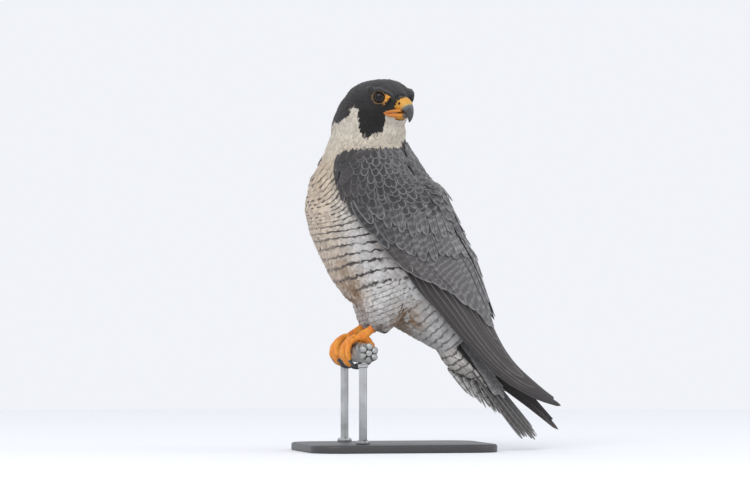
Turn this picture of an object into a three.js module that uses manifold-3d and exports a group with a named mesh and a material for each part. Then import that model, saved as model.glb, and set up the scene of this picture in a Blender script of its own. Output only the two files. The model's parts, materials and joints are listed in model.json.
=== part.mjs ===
// A perched peregrine falcon, life size, on a short length of steel strand held by a plain display stand.
// Millimetres, +Z up. The bird's breast faces -Y, its left side is +X, and the origin is under the stand's base.
import * as THREE from "three";
import { mergeVertices } from "three/addons/utils/BufferGeometryUtils.js";
import Module from "manifold-3d";

const wasm = await Module();
wasm.setup();

const { degToRad, lerp, smoothstep, clamp } = THREE.MathUtils;

// Driving sizes

const GAP = 0.35; // between one node and the next
const SHORTEST = 0.05; // edges shorter than this are merged away
const FULLNESS = 0.05; // how far a body section swells past an ellipse, between back and side

// Stations down the bird, from throat to wing tips. Each is a section across the body's line.
// y and z place its centre, back and belly are its radii towards each, and half is half its width.
const BODY = [
  { y: -19, z: 316, back: 36, belly: 37, half: 33 },
  { y: -19, z: 290, back: 50, belly: 48.5, half: 44 },
  { y: -17, z: 256, back: 64, belly: 67.5, half: 51 },
  { y: -5, z: 219, back: 66, belly: 67, half: 53 },
  { y: 12, z: 180, back: 64, belly: 60, half: 49 },
  { y: 36, z: 143, back: 52, belly: 33, half: 37 },
  { y: 72, z: 105, back: 16, belly: 15, half: 17 },
];
// The folded wings leave the body behind station 4 and run on to their tips.
const WING_LEFT = [
  ...BODY.slice(0, 5),
  { y: 36, z: 143, back: 63, belly: 33, half: 42 },
  { y: 78, z: 99, back: 40, belly: 20, half: 29 },
  { y: 112, z: 72, back: 25, belly: 12, half: 18 },
  { y: 148, z: 53, back: 14, belly: 8, half: 10 },
  { y: 178, z: 43, back: 4, belly: 4, half: 5 },
];
// The right wing's tip droops lower.
const WING_RIGHT = [
  ...WING_LEFT.slice(0, 7),
  { y: 112, z: 70, back: 23, belly: 12, half: 18 },
  { y: 147, z: 44, back: 10, belly: 8, half: 10 },
  { y: 178, z: 19, back: 3, belly: 4, half: 5 },
];

const HEAD = { x: 11.7, y: -6.4, z: 347, turn: 123 }; // turn is from the breast's direction to the bird's left
const EYE = { forward: 16.2, side: 19.4, up: 5.6, radius: 7.1 };
const NECK_TOP = 322; // height of the cut between head and neck
const NECK_FOOT = 288; // height of the cut between neck and torso

const WING_FROM = 0.62; // station where the wing's shoulder starts
const HAND_FROM = 2.6; // station where the primaries' root strip starts
const WING_LIFT = 1.3; // the innermost wing layer's height over the body
const HAND_DEPTH = 3.9; // height of the primaries' layer under the secondaries

const TAIL = { y: 66, z: 119, slope: 50.8, roll: 32, length: 137, rootHalf: 12, tipHalf: 26 };

const PERCH = { y: -33, z: 99, radius: 10, length: 150 };
const BASE = { length: 190, width: 150, height: 8, corner: 30, y: 8 };
const ROD_RADIUS = 4;
const FOOT_SPREAD = 25; // from the middle to each foot's middle toe

const COLOURS = {
  slate: 0x4a4c52,
  crown: 0x2c2b2d,
  cream: 0xd9d0c2,
  yellow: 0xe39a2c,
  horn: 0x3c4148,
  eye: 0x17120f,
  flight: 0x3f3a38,
  steel: 0x9a9c9c,
  base: 0x3a3531,
};

// Solids from meshes

function solid(geometry) {
  const bare = new THREE.BufferGeometry().setAttribute("position", geometry.getAttribute("position"));
  if (geometry.index) bare.setIndex(geometry.index);
  const merged = mergeVertices(bare, 1e-4);
  return new wasm.Manifold(
    new wasm.Mesh({
      numProp: 3,
      vertProperties: new Float32Array(merged.attributes.position.array),
      triVerts: new Uint32Array(merged.index.array),
    }),
  );
}

const placed = (geometry, matrix) => solid(geometry.clone().applyMatrix4(matrix));
const fuse = (solids) => solids.reduce((whole, next) => whole.add(next));
const largest = (whole) =>
  whole.decompose().reduce((best, piece) => (piece.volume() > best.volume() ? piece : best));

function meshOf(name, whole, colour, roughness = 0.75) {
  const kept = largest(largest(whole).simplify(SHORTEST)).getMesh();
  const points = new Float32Array(kept.numVert * 3);
  for (let i = 0; i < kept.numVert; i++) {
    points.set(kept.vertProperties.subarray(i * kept.numProp, i * kept.numProp + 3), i * 3);
  }
  const geometry = new THREE.BufferGeometry()
    .setAttribute("position", new THREE.BufferAttribute(points, 3))
    .setIndex(new THREE.BufferAttribute(new Uint32Array(kept.triVerts), 1));
  geometry.computeVertexNormals();
  const mesh = new THREE.Mesh(
    geometry,
    new THREE.MeshStandardMaterial({ color: COLOURS[colour], roughness, metalness: 0 }),
  );
  mesh.name = name;
  return mesh;
}

// A closed solid through rings of points, each ring listed the same way round, with a fan at both ends.
// A sheet's ring runs along its outer face, and from the index turned on back along its inner face. Its quads are
// split alike on both faces, and its ends are closed by strips between them.
function loft(rings, turned = Infinity) {
  const count = rings[0].length;
  const points = [];
  const faces = [];
  rings.forEach((ring) => ring.forEach((p) => points.push(p.x, p.y, p.z)));
  for (let r = 0; r + 1 < rings.length; r++) {
    for (let i = 0; i < count; i++) {
      const a = r * count + i;
      const b = r * count + ((i + 1) % count);
      const halves = i < turned ? [a, b, b + count, a, b + count, a + count] : [a, b, a + count, b, b + count, a + count];
      faces.push(...halves);
    }
  }
  const close = (first, a, b, c) => faces.push(...(first ? [a, c, b] : [a, b, c]));
  for (const r of [0, rings.length - 1]) {
    const start = r * count;
    if (turned < count) {
      for (let i = 0; i + 1 < turned; i++) {
        const [a, b, c, d] = [i, i + 1, count - 2 - i, count - 1 - i].map((n) => start + n);
        close(r === 0, a, b, c);
        close(r === 0, a, c, d);
      }
      continue;
    }
    const middle = new THREE.Vector3();
    rings[r].forEach((p) => middle.addScaledVector(p, 1 / count));
    const hub = points.length / 3;
    points.push(middle.x, middle.y, middle.z);
    for (let i = 0; i < count; i++) close(r === 0, hub, start + i, start + ((i + 1) % count));
  }
  const geometry = new THREE.BufferGeometry()
    .setAttribute("position", new THREE.BufferAttribute(new Float32Array(points), 3))
    .setIndex(faces);
  const made = solid(geometry);
  if (made.volume() > 0) return made;
  geometry.setIndex(faces.map((_, i) => faces[i - (i % 3) + [0, 2, 1][i % 3]]));
  return solid(geometry);
}

function box(x0, x1, y0, y1, z0, z1) {
  const geometry = new THREE.BoxGeometry(x1 - x0, y1 - y0, z1 - z0);
  return placed(geometry, new THREE.Matrix4().makeTranslation((x0 + x1) / 2, (y0 + y1) / 2, (z0 + z1) / 2));
}

const FAR = 400;
const above = (z) => box(-FAR, FAR, -FAR, FAR, z, FAR * 2);
const below = (z) => box(-FAR, FAR, -FAR, FAR, -FAR, z);

const oneSide = (side) => box(...(side > 0 ? [GAP / 2, FAR] : [-FAR, -GAP / 2]), -FAR, FAR, -FAR, FAR * 2);

// The body's surface

function courseOf(stations) {
  const line = new THREE.CatmullRomCurve3(
    stations.map((s) => new THREE.Vector3(0, s.y, s.z)),
    false,
    "catmullrom",
    0.5,
  );
  const radii = new THREE.CatmullRomCurve3(
    stations.map((s) => new THREE.Vector3(s.back, s.belly, s.half)),
    false,
    "catmullrom",
    0.5,
  );
  return { line, radii, last: stations.length - 1 };
}

const BODY_COURSE = courseOf(BODY);
const WING_COURSES = { 1: courseOf(WING_LEFT), "-1": courseOf(WING_RIGHT) };

// The point at a station, turned by angle degrees from the middle of the back towards one side, and lifted off the surface.
function onCourse(course, station, angle, lift = 0, side = 1) {
  const t = clamp(station / course.last, 0, 1);
  const centre = course.line.getPoint(t);
  const along = course.line.getTangent(t);
  const radius = course.radii.getPoint(t);
  const turned = degToRad(angle);
  const swell = 1 + FULLNESS * Math.sin(2 * turned) ** 2;
  const reach = ((Math.cos(turned) > 0 ? radius.x : radius.y) * swell + lift) * Math.cos(turned);
  const out = (radius.z * swell + lift) * Math.sin(turned);
  return new THREE.Vector3(side * out, centre.y - along.z * reach, centre.z + along.y * reach);
}

function bodyRing(station, lift, count = 28) {
  return Array.from({ length: count }, (_, i) => onCourse(BODY_COURSE, station, (360 * i) / count, lift));
}

// Level sections from the throat up inside the head: height, place of the middle and half sizes.
const NAPE = [
  { z: 367, x: 4, y: -13, wide: 12, long: 12 },
  { z: 359, x: 3, y: -14, wide: 23, long: 25 },
  { z: 347, x: 2, y: -16, wide: 29, long: 32 },
  { z: 333, x: 1, y: -18, wide: 32, long: 36 },
  { z: 322, x: 0, y: -19.5, wide: 33, long: 37 },
];

function trunk(lift = 0) {
  const count = 24;
  const rings = NAPE.map((level) =>
    Array.from({ length: count }, (_, i) => {
      const turned = (2 * Math.PI * i) / count;
      return new THREE.Vector3(
        level.x + level.wide * Math.sin(turned),
        level.y + level.long * Math.cos(turned),
        level.z,
      );
    }),
  );
  for (let k = 0; k <= 12; k++) rings.push(bodyRing(k / 2, lift, count));
  const beyond = BODY_COURSE.line.getTangent(1).multiplyScalar(lift);
  rings[rings.length - 1].forEach((p) => p.add(beyond));
  return loft(rings);
}

// The head, in its own frame: +X forward to the bill, +Y to the bird's left, +Z up.

const headFrame = new THREE.Matrix4()
  .makeTranslation(HEAD.x, HEAD.y, HEAD.z)
  .multiply(new THREE.Matrix4().makeRotationZ(degToRad(HEAD.turn - 90)));

// Sections from nape to bill: place along the head, half width, top and bottom.
const HEAD_SECTIONS = [
  [-38, 9, 6, -12],
  [-35.5, 17, 13, -20],
  [-28, 25, 19.5, -30],
  [-16, 28.5, 23.5, -34],
  [-3, 29, 25, -33],
  [7, 27.5, 25, -31],
  [14, 24.5, 23.6, -28],
  [18.5, 21, 21.4, -25],
  [22, 16.5, 18, -22],
  [25, 12.5, 13.6, -19.5],
  [27.5, 9, 9.8, -17],
];

function headRing([forward, half, top, bottom], count = 22) {
  return Array.from({ length: count }, (_, i) => {
    const turned = (2 * Math.PI * i) / count;
    const swell = 1 + 0.06 * Math.sin(2 * turned) ** 2;
    const up = Math.sin(turned) * swell;
    return new THREE.Vector3(forward, half * swell * Math.cos(turned), up > 0 ? up * top : -up * bottom);
  });
}

function skull() {
  return loft(HEAD_SECTIONS.map((section) => headRing(section)));
}

// A solid swept along points, with a radius for each, in sections of few sides.
function limb(points, radii, sides = 8, ends = 0) {
  const curve = new THREE.CatmullRomCurve3(points, false, "catmullrom", 0.5);
  const last = radii.length - 1;
  const steps = points.length > 4 ? points.length - 1 : (points.length - 1) * 2;
  const up = new THREE.Vector3(1, 0.02, 0.03).normalize();
  const rings = [];
  for (let s = 0; s <= steps; s++) {
    const t = s / steps;
    const along = curve.getTangent(t);
    const across = new THREE.Vector3().crossVectors(along, up).normalize();
    const high = new THREE.Vector3().crossVectors(across, along);
    const k = Math.min(Math.floor(t * last), last - 1);
    const radius = lerp(radii[k], radii[k + 1], t * last - k);
    const middle = curve.getPoint(t).addScaledVector(along, s === 0 ? -ends : s === steps ? ends : 0);
    rings.push(
      Array.from({ length: sides }, (_, i) => {
        const turned = (2 * Math.PI * i) / sides;
        return middle
          .clone()
          .addScaledVector(across, radius * Math.cos(turned))
          .addScaledVector(high, radius * Math.sin(turned));
      }),
    );
  }
  return loft(rings);
}

function ball(radius, x, y, z, squash = [1, 1, 1], detail = 16) {
  const geometry = new THREE.SphereGeometry(radius, detail, detail / 2);
  return placed(geometry, new THREE.Matrix4().makeTranslation(x, y, z).scale(new THREE.Vector3(...squash)));
}

function eyeBall(side, extra = 0) {
  return ball(EYE.radius + extra, EYE.forward, side * EYE.side, EYE.up, [1, 1, 1], 12);
}

// Rings down the bill: forward and up place the middle, droop is the ring's tilt.
const UPPER_BILL = [
  { forward: 23, up: -1, droop: 0, half: 10.2, high: 8.8 },
  { forward: 28.5, up: -1, droop: 5, half: 9.2, high: 8.2 },
  { forward: 33, up: -2, droop: 18, half: 7.8, high: 6.9 },
  { forward: 36.5, up: -5, droop: 42, half: 6, high: 5.3 },
  { forward: 38.7, up: -9.3, droop: 68, half: 4.3, high: 4 },
  { forward: 39.4, up: -13.2, droop: 88, half: 2.9, high: 2.9 },
  { forward: 38.8, up: -16.6, droop: 106, half: 1.7, high: 1.8 },
  { forward: 38, up: -19, droop: 112, half: 0.6, high: 0.7 },
];
const LOWER_BILL = [
  { forward: 18, up: -13.4, droop: 4, half: 9.6, high: 3.3 },
  { forward: 25, up: -13.7, droop: 2, half: 7.8, high: 3.2 },
  { forward: 30.5, up: -13.4, droop: -3, half: 5.4, high: 2.8 },
  { forward: 33.8, up: -12.8, droop: -8, half: 3.4, high: 2 },
  { forward: 35.2, up: -12.4, droop: -10, half: 1.4, high: 1.1 },
];

function bill(rows, extra = 0, sides = 14) {
  return loft(
    rows.map((row, n) => {
      const droop = degToRad(row.droop);
      const shift = n === 0 ? -extra : n === rows.length - 1 ? extra : 0;
      return Array.from({ length: sides }, (_, i) => {
        const turned = (2 * Math.PI * i) / sides;
        const high = (row.high + extra) * Math.sin(turned);
        return new THREE.Vector3(
          row.forward + high * Math.sin(droop) + shift * Math.cos(droop),
          (row.half + extra) * Math.cos(turned),
          row.up + high * Math.cos(droop) - shift * Math.sin(droop),
        );
      });
    }),
  );
}

// Where the yellow cere ends and the horn of the bill starts: a plane that leans back towards the mouth.
const CERE_EDGE = { normal: [0.86, 0, -0.51], at: 31 };
const NOSTRIL = { forward: 31.6, side: 7.4, up: -0.6, radius: 1.25 };

function nostrils() {
  const pits = [1, -1].map((side) => ball(NOSTRIL.radius, NOSTRIL.forward, side * NOSTRIL.side, NOSTRIL.up, [1, 1.6, 1], 8));
  return fuse(pits);
}

function cere() {
  const back = bill(UPPER_BILL).trimByPlane(CERE_EDGE.normal.map((k) => -k), GAP / 2 - CERE_EDGE.at);
  const pegs = [1, -1].map((side) => ball(0.45, NOSTRIL.forward, side * (NOSTRIL.side - 1.2), NOSTRIL.up, [1, 2, 1], 6));
  return back.subtract(nostrils()).add(fuse(pegs));
}

const horn = () => bill(UPPER_BILL).trimByPlane(CERE_EDGE.normal, CERE_EDGE.at + GAP / 2);

const BROW = [
  { forward: -3, side: 22, up: 12, radius: 3 },
  { forward: 7, side: 23.6, up: 13.6, radius: 4.4 },
  { forward: 16, side: 22.6, up: 12.6, radius: 4.6 },
  { forward: 22.5, side: 18, up: 9.6, radius: 3.9 },
  { forward: 25, side: 11, up: 6.5, radius: 2.6 },
];

function brow(side) {
  const line = BROW.map((p) => new THREE.Vector3(p.forward, side * p.side, p.up));
  return limb(line, BROW.map((p) => p.radius), 8);
}

function lid(side) {
  const ring = new THREE.TorusGeometry(6.5, 1.4, 5, 13);
  const aim = new THREE.Matrix4()
    .makeTranslation(EYE.forward + 2, side * (EYE.side + 2.6), EYE.up)
    .multiply(new THREE.Matrix4().makeRotationZ(side * degToRad(-32)))
    .multiply(new THREE.Matrix4().makeRotationX(Math.PI / 2));
  return placed(ring, aim);
}

// The slit that carries the mouth back under the eye.
function mouthSlit() {
  const slit = box(15, 30, -22, 22, -10.1, -9.5);
  return slit.subtract(skull().scale([0.9, 0.9, 1]));
}

function face() {
  const added = [1, -1].flatMap((side) => [brow(side), lid(side)]);
  added.push(ball(1, 2, 0, -30, [23.5, 24, 20], 14));
  const taken = [1, -1].map((side) => eyeBall(side, GAP));
  taken.push(bill(UPPER_BILL, GAP), bill(LOWER_BILL, GAP), mouthSlit());
  return { added: fuse(added).transform(headFrame.elements), taken: fuse(taken).transform(headFrame.elements) };
}

// The wings

const lowAngle = (station) =>
  station < 1
    ? 132
    : new THREE.CatmullRomCurve3(
        [132, 122, 113, 103, 97, 92, 91, 91, 91].map((a) => new THREE.Vector3(a, 0, 0)),
        false,
        "catmullrom",
        0.5,
      ).getPoint((station - 1) / 8).x;

const topAngle = (station) => lerp(60, 4, smoothstep(station, WING_FROM, 3.4)) + (station > 6 ? (station - 6) * 3 : 0);

function wingDepth(station) {
  const depths = [3, 8.5, 10, 11, 11, 9.5, 7.6, 6, 3.4, 1.8];
  const k = Math.min(Math.floor(station), 8);
  return lerp(depths[k], depths[k + 1], station - k) * smoothstep(station, WING_FROM - 0.35, WING_FROM + 0.25);
}

// A sheet that follows the folded wing between two stations, with its own inner and outer heights.
function sheet(side, from, to, inner, outer, top = topAngle, low = lowAngle, steps = 14, across = 8) {
  const course = WING_COURSES[side];
  const rings = [];
  for (let s = 0; s <= steps; s++) {
    const station = lerp(from, to, s / steps);
    const ring = [];
    for (let k = 0; k <= across; k++) {
      const share = k / across;
      const angle = lerp(top(station), low(station), share);
      const edge = Math.sqrt(1 - 0.96 * Math.abs(2 * share - 1) ** 5);
      const high = inner(station) + Math.max(0.6, (outer(station, share) - inner(station)) * edge);
      ring.push(onCourse(course, station, angle, high, side));
    }
    for (let k = across; k >= 0; k--) {
      const angle = lerp(top(station), low(station), k / across);
      ring.push(onCourse(course, station, angle, inner(station), side));
    }
    rings.push(ring);
  }
  return loft(rings, across + 1);
}

const wristSwell = (station, share) =>
  8 * Math.exp(-(((station - 1.15) / 0.75) ** 2)) * Math.exp(-(((share - 0.92) / 0.24) ** 2));

const vaneDepth = (station) => wingDepth(station) - 1.2; // the smooth form under the vanes

function arm(side) {
  const low = (station) => lowAngle(station) - 3.4 - 34 * smoothstep(station, 3.6, 5.2);
  const inner = (station) => WING_LIFT + 0.55 + 0.17 * smoothstep(station, 1, 6);
  const fall = (station) => 1 - 0.45 * smoothstep(station, 4, 5.3);
  const outer = (station, share) => vaneDepth(station) * fall(station) + wristSwell(station, share);
  return sheet(side, WING_FROM, 5.34, inner, outer, (station) => topAngle(station) + 0.45, low, 11, 6);
}

function hand(side) {
  const top = (station) => Math.max(lowAngle(station) - 60 - 30 * smoothstep(station, 3, 6), topAngle(station) + 0.9);
  return sheet(side, HAND_FROM, 8.87, () => WING_LIFT, (k) => Math.min(HAND_DEPTH, wingDepth(k) + 0.4), top, lowAngle, 10, 5);
}

// Where a share of the way along a list of [station, angle] falls.
function along(points, share) {
  const place = share * (points.length - 1);
  const k = Math.min(Math.floor(place), points.length - 2);
  return points[k].map((value, n) => lerp(value, points[k + 1][n], place - k));
}

// One feather's vane, from a root sunk in the wing to a rounded tip. Its edge towards the back lies lower, under the next vane.
const VANE_ROWS = [
  [0, 0.7],
  [0.5, 1],
  [0.9, 0.8],
  [1, 0.26],
];

function vane(side, { root, tip, lift, width, thick = 0.9, tilt = 0.5 }) {
  const course = WING_COURSES[side];
  const rings = VANE_ROWS.map(([share, broad]) => {
    const station = lerp(root[0], tip[0], share);
    const radius = course.radii.getPoint(clamp(station / course.last, 0, 1));
    const half = clamp(THREE.MathUtils.radToDeg((width * broad) / (radius.x + radius.z)), 0, 30);
    const middle = lerp(root[1], tip[1], share);
    const place = (k, out) => {
      const angle = clamp(middle + k * half, topAngle(station) + 1, 170);
      const high = lerp(lift[0], lift[1], share) + k * tilt + (k ? 0 : 0.2) + out * lerp(thick, thick * 0.75, share);
      return onCourse(course, station, angle, high, side);
    };
    return [...[-1, 0, 1].map((k) => place(k, 0.5)), ...[1, 0, -1].map((k) => place(k, -0.5))];
  });
  return loft(rings, 3);
}

// A row of overlapping vanes, spaced between two lines of roots and tips.
function tier(side, { count, roots, tips, sink = 1.8, rise, width, thick }) {
  return Array.from({ length: count }, (_, n) => {
    const share = count > 1 ? n / (count - 1) : 0;
    const [root, tip] = [along(roots, share), along(tips, share)];
    const lift = [vaneDepth(root[0]) - sink, rise(tip[0], share)];
    return vane(side, { root, tip, lift, width: lerp(width[0], width[1], share), thick });
  });
}

// The primaries fan out of the hand: each one's lower edge shows below the one above it.
const PRIMARY_TIPS = [8.75, 9, 8.66, 8.1, 7.5, 6.95, 6.45];

function primaries(side) {
  return PRIMARY_TIPS.map((end, n) => {
    const edge = (station) => lowAngle(station) + 0.5 - n * lerp(5.2, 9, smoothstep(station, 5.5, 8.5));
    const high = (station) => 2.9 + 0.3 * n - 1.6 * smoothstep(station, 6.5, 9);
    const root = [4.2 + 0.1 * n, edge(4.2) - 4];
    const tip = [end, edge(end) - lerp(5, 12, smoothstep(end, 6, 9))];
    return vane(side, { root, tip, lift: [high(root[0]), high(end)], width: 9, thick: 0.9, tilt: 0.3 });
  });
}

const TIERS = {
  secondaries: {
    count: 8,
    roots: [
      [2.7, 103],
      [3, 78],
      [3.6, 26],
    ],
    tips: [
      [4.3, 95],
      [4.8, 86],
      [5.15, 74],
      [5.75, 56],
      [6.05, 20],
    ],
    rise: (station, share) => wingDepth(station) - 2.2 + 2.6 * share,
    width: [12, 18],
    thick: 1,
  },
  greater: {
    count: 6,
    roots: [
      [1.9, 112],
      [2.3, 80],
      [2.7, 40],
    ],
    tips: [
      [3.15, 106],
      [3.55, 90],
      [4.0, 72],
      [4.45, 44],
    ],
    rise: (station) => wingDepth(station) + 0.1,
    width: [15, 15],
    thick: 0.9,
  },
  scapulars: {
    count: 5,
    roots: [
      [1.5, 46],
      [2.3, 28],
      [3.2, 20],
      [3.9, 14],
    ],
    tips: [
      [2.9, 42],
      [3.7, 34],
      [4.5, 26],
      [5.35, 14],
    ],
    rise: (station) => wingDepth(station) + 0.9,
    width: [17, 18],
    thick: 1.1,
  },
};

function wing(side) {
  const tiers = Object.values(TIERS).flatMap((spec) => tier(side, spec));
  return fuse([hand(side), ...primaries(side), arm(side), ...tiers]).intersect(oneSide(side));
}

// What a folded wing takes out of the body under it.
function wingSeat(side) {
  const behind = (station) => smoothstep(station, 5.6, 7);
  const top = (station) => clamp(topAngle(station) - 4, 0, 180);
  const low = (station) => clamp(lowAngle(station) + 6 + 12 * behind(station), 0, 180);
  const depth = (station) => -0.1 - 1.4 * behind(station);
  return sheet(side, WING_FROM - 0.15, 9, depth, () => 40, top, low, 12, 5);
}

// The tail, in its own frame: +X along it, +Y to the bird's right, +Z out of its back. Its left side hangs lower.

const tailFrame = new THREE.Matrix4()
  .makeTranslation(0, TAIL.y, TAIL.z)
  .multiply(new THREE.Matrix4().makeRotationZ(Math.PI / 2))
  .multiply(new THREE.Matrix4().makeRotationY(degToRad(TAIL.slope)))
  .multiply(new THREE.Matrix4().makeRotationX(degToRad(TAIL.roll)));

const tailHalf = (place) => lerp(TAIL.rootHalf, TAIL.tipHalf, smoothstep(place, 0, 90));
const tailRoof = (y) => -0.006 * y * y; // how far the tail's sides fall below its middle
const tailEnd = (y) => 18 * (y / TAIL.tipHalf) ** 2; // how much shorter the outer feathers are

function tailForm(from, to, half, over, under, steps, shorten = () => 0, sides = 12) {
  const rings = Array.from({ length: steps + 1 }, (_, s) => {
    const share = s / steps;
    const place = lerp(from, to, share);
    return Array.from({ length: sides }, (__, i) => {
      const turned = (2 * Math.PI * i) / sides;
      const y = half(place) * Math.cos(turned);
      const high = turned < Math.PI ? over(place) : under(place);
      return new THREE.Vector3(place - shorten(y) * share ** 2, y, high * Math.sin(turned) + tailRoof(y));
    });
  });
  return loft(rings);
}

// One tail feather or covert: from its root to its tip it moves outward, and lies at a height over the tail's middle.
function tailVane({ from, to, root, tip, high, half, thick = 0.8 }) {
  const rings = VANE_ROWS.map(([share, broad]) => {
    const middle = lerp(root, tip, share);
    const place = (k, out) => {
      const y = middle + k * half * broad;
      const z = lerp(high[0], high[1], share) + tailRoof(y) - 0.3 * k * Math.sign(tip) + out * thick;
      return new THREE.Vector3(lerp(from, to, share), y, z);
    };
    return [...[-1, 0, 1].map((k) => place(k, 0.5)), ...[1, 0, -1].map((k) => place(k, -0.5))];
  });
  return loft(rings, 3);
}

function rectrices() {
  const pairs = 6;
  return Array.from({ length: pairs * 2 }, (_, n) => {
    const rank = Math.floor(n / 2) + 0.5;
    const side = n % 2 ? 1 : -1;
    const tip = side * rank * (TAIL.tipHalf - 5.5) * (1 / (pairs - 0.5));
    const high = 1.9 - 0.42 * rank - 0.1 * side;
    return tailVane({ from: 46, to: TAIL.length - tailEnd(tip) + (rank < 1 ? 1 : 0), root: tip * 0.7, tip, high: [high, high], half: 4.2 });
  });
}

function tailCoverts() {
  const rows = [];
  for (const [to, tip] of [
    [80, 0],
    [75, -10],
    [75, 10],
  ]) {
    const low = -9 + 0.02 * tip * tip;
    rows.push(tailVane({ from: to - 36, to, root: tip * 0.8, tip, high: [low - 2, low], half: 7, thick: 1.6 }));
  }
  for (const [to, tip] of [
    [64, -7],
    [68, 7],
  ]) {
    rows.push(tailVane({ from: to - 36, to, root: tip * 0.7, tip, high: [2.4, 3], half: 7 }));
  }
  return rows;
}

function tail() {
  const over = (k) => lerp(5, 1.2, smoothstep(k, 0, 60));
  const flat = tailForm(0, TAIL.length - 12, (k) => tailHalf(k) - 2, over, () => 1.2, 5, tailEnd);
  const beneath = tailForm(
    2,
    72,
    (k) => lerp(20, 7, smoothstep(k, 20, 74)),
    () => 2,
    (k) => lerp(25, 3, smoothstep(k, 26, 74) ** 0.8),
    6,
  );
  return fuse([flat, beneath, ...rectrices(), ...tailCoverts()]).transform(tailFrame.elements);
}

// Feet, round a perch that runs along X.

function aroundPerch(x, angle, lift) {
  const turned = degToRad(angle);
  const reach = PERCH.radius + lift;
  return new THREE.Vector3(x, PERCH.y - reach * Math.sin(turned), PERCH.z + reach * Math.cos(turned));
}

const TOES = {
  inner: { from: 8, to: 118, sway: 13, radius: 3.6, talon: 15 },
  middle: { from: 12, to: 148, sway: 2, radius: 3.7, talon: 15 },
  outer: { from: 4, to: 120, sway: -15, radius: 3.2, talon: 13 },
  hind: { from: -16, to: -100, sway: 5, radius: 3.8, talon: 18 },
};

function toe(side, spec, extra = 0) {
  const steps = 7;
  const points = Array.from({ length: steps + 1 }, (_, i) => {
    const share = i / steps;
    const angle = lerp(spec.from, spec.to, share);
    const x = side * (FOOT_SPREAD - spec.sway * Math.min(1, share * 1.25));
    return aroundPerch(x, angle, spec.radius * 1.15 + GAP);
  });
  return limb(points, [1.15, 1, 1.1, 0.92, 1.02, 0.86, 0.96, 0.66].map((k) => k * spec.radius + extra), 7, extra);
}

function talon(side, spec) {
  const direction = Math.sign(spec.to);
  const x = side * (FOOT_SPREAD - spec.sway);
  const start = spec.to + direction * 2;
  const sweep = (spec.talon / (PERCH.radius + 3)) * (180 / Math.PI);
  const points = Array.from({ length: 4 }, (_, i) => {
    const share = i / 3;
    const lift = spec.radius * 1.15 + GAP + 1.4 * Math.sin(Math.PI * share * 0.8) - 1.7 * share;
    return aroundPerch(x, start + direction * sweep * share, lift);
  });
  const claw = limb(points, [0.64, 0.52, 0.33, 0.08].map((k) => k * spec.radius), 5);
  return claw.subtract(toe(side, spec, GAP));
}

function leg(side) {
  const foot = new THREE.Vector3(side * FOOT_SPREAD, PERCH.y + 2, PERCH.z + PERCH.radius + 5);
  const heel = new THREE.Vector3(side * 26, -13, 134);
  const shank = limb([foot, foot.clone().lerp(heel, 0.5), heel], [5, 3.7, 5.2], 8);
  const pad = ball(1, foot.x, foot.y, foot.z - 0.3, [6, 6.5, 4.4], 10);
  const toes = Object.values(TOES).map((spec) => toe(side, spec));
  return fuse([shank, pad, ...toes]).subtract(thigh(side, GAP));
}

const THIGH_LINE = [
  { x: 20, y: 0, z: 180, radius: 25 },
  { x: 25, y: -7, z: 160, radius: 25 },
  { x: 27, y: -8, z: 143, radius: 22 },
  { x: 27, y: -10, z: 130, radius: 16 },
  { x: 26, y: -14, z: 119, radius: 8.5 },
];

function thigh(side, extra = 0) {
  const line = THIGH_LINE.map((p) => new THREE.Vector3(side * p.x, p.y, p.z));
  return limb(line, THIGH_LINE.map((p) => p.radius + extra), 14, extra);
}

function standBase() {
  const shape = new THREE.Shape();
  const { length, width, corner } = BASE;
  const [x, y] = [-width / 2, -length / 2];
  shape.moveTo(x + corner, y);
  shape.lineTo(x + width - corner, y);
  shape.absarc(x + width - corner, y + corner, corner, -Math.PI / 2, 0);
  shape.lineTo(x + width, y + length - corner);
  shape.absarc(x + width - corner, y + length - corner, corner, 0, Math.PI / 2);
  shape.lineTo(x + corner, y + length);
  shape.absarc(x + corner, y + length - corner, corner, Math.PI / 2, Math.PI);
  shape.lineTo(x, y + corner);
  shape.absarc(x + corner, y + corner, corner, Math.PI, Math.PI * 1.5);
  const plate = new THREE.ExtrudeGeometry(shape, { depth: BASE.height, bevelEnabled: false, curveSegments: 5 });
  return placed(plate, new THREE.Matrix4().makeTranslation(0, BASE.y, 0));
}

function rod(x) {
  const high = PERCH.z - PERCH.radius - GAP * 2 - BASE.height;
  const geometry = new THREE.CylinderGeometry(ROD_RADIUS, ROD_RADIUS, high - GAP, 14);
  const up = new THREE.Matrix4().makeTranslation(x, PERCH.y, BASE.height + GAP + (high - GAP) / 2);
  return placed(geometry, up.multiply(new THREE.Matrix4().makeRotationX(Math.PI / 2)));
}

function perch() {
  const geometry = new THREE.CylinderGeometry(PERCH.radius, PERCH.radius, PERCH.length, 20);
  const across = new THREE.Matrix4().makeTranslation(0, PERCH.y, PERCH.z);
  return placed(geometry, across.multiply(new THREE.Matrix4().makeRotationZ(Math.PI / 2)));
}

const falcon = new THREE.Group();
const show = (...parts) => falcon.add(meshOf(...parts));

const body = trunk();
const legs = [1, -1].map((side) => thigh(side, GAP));
const { added, taken } = face();
const whole = fuse([body, skull().transform(headFrame.elements), added]).subtract(taken);

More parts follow.
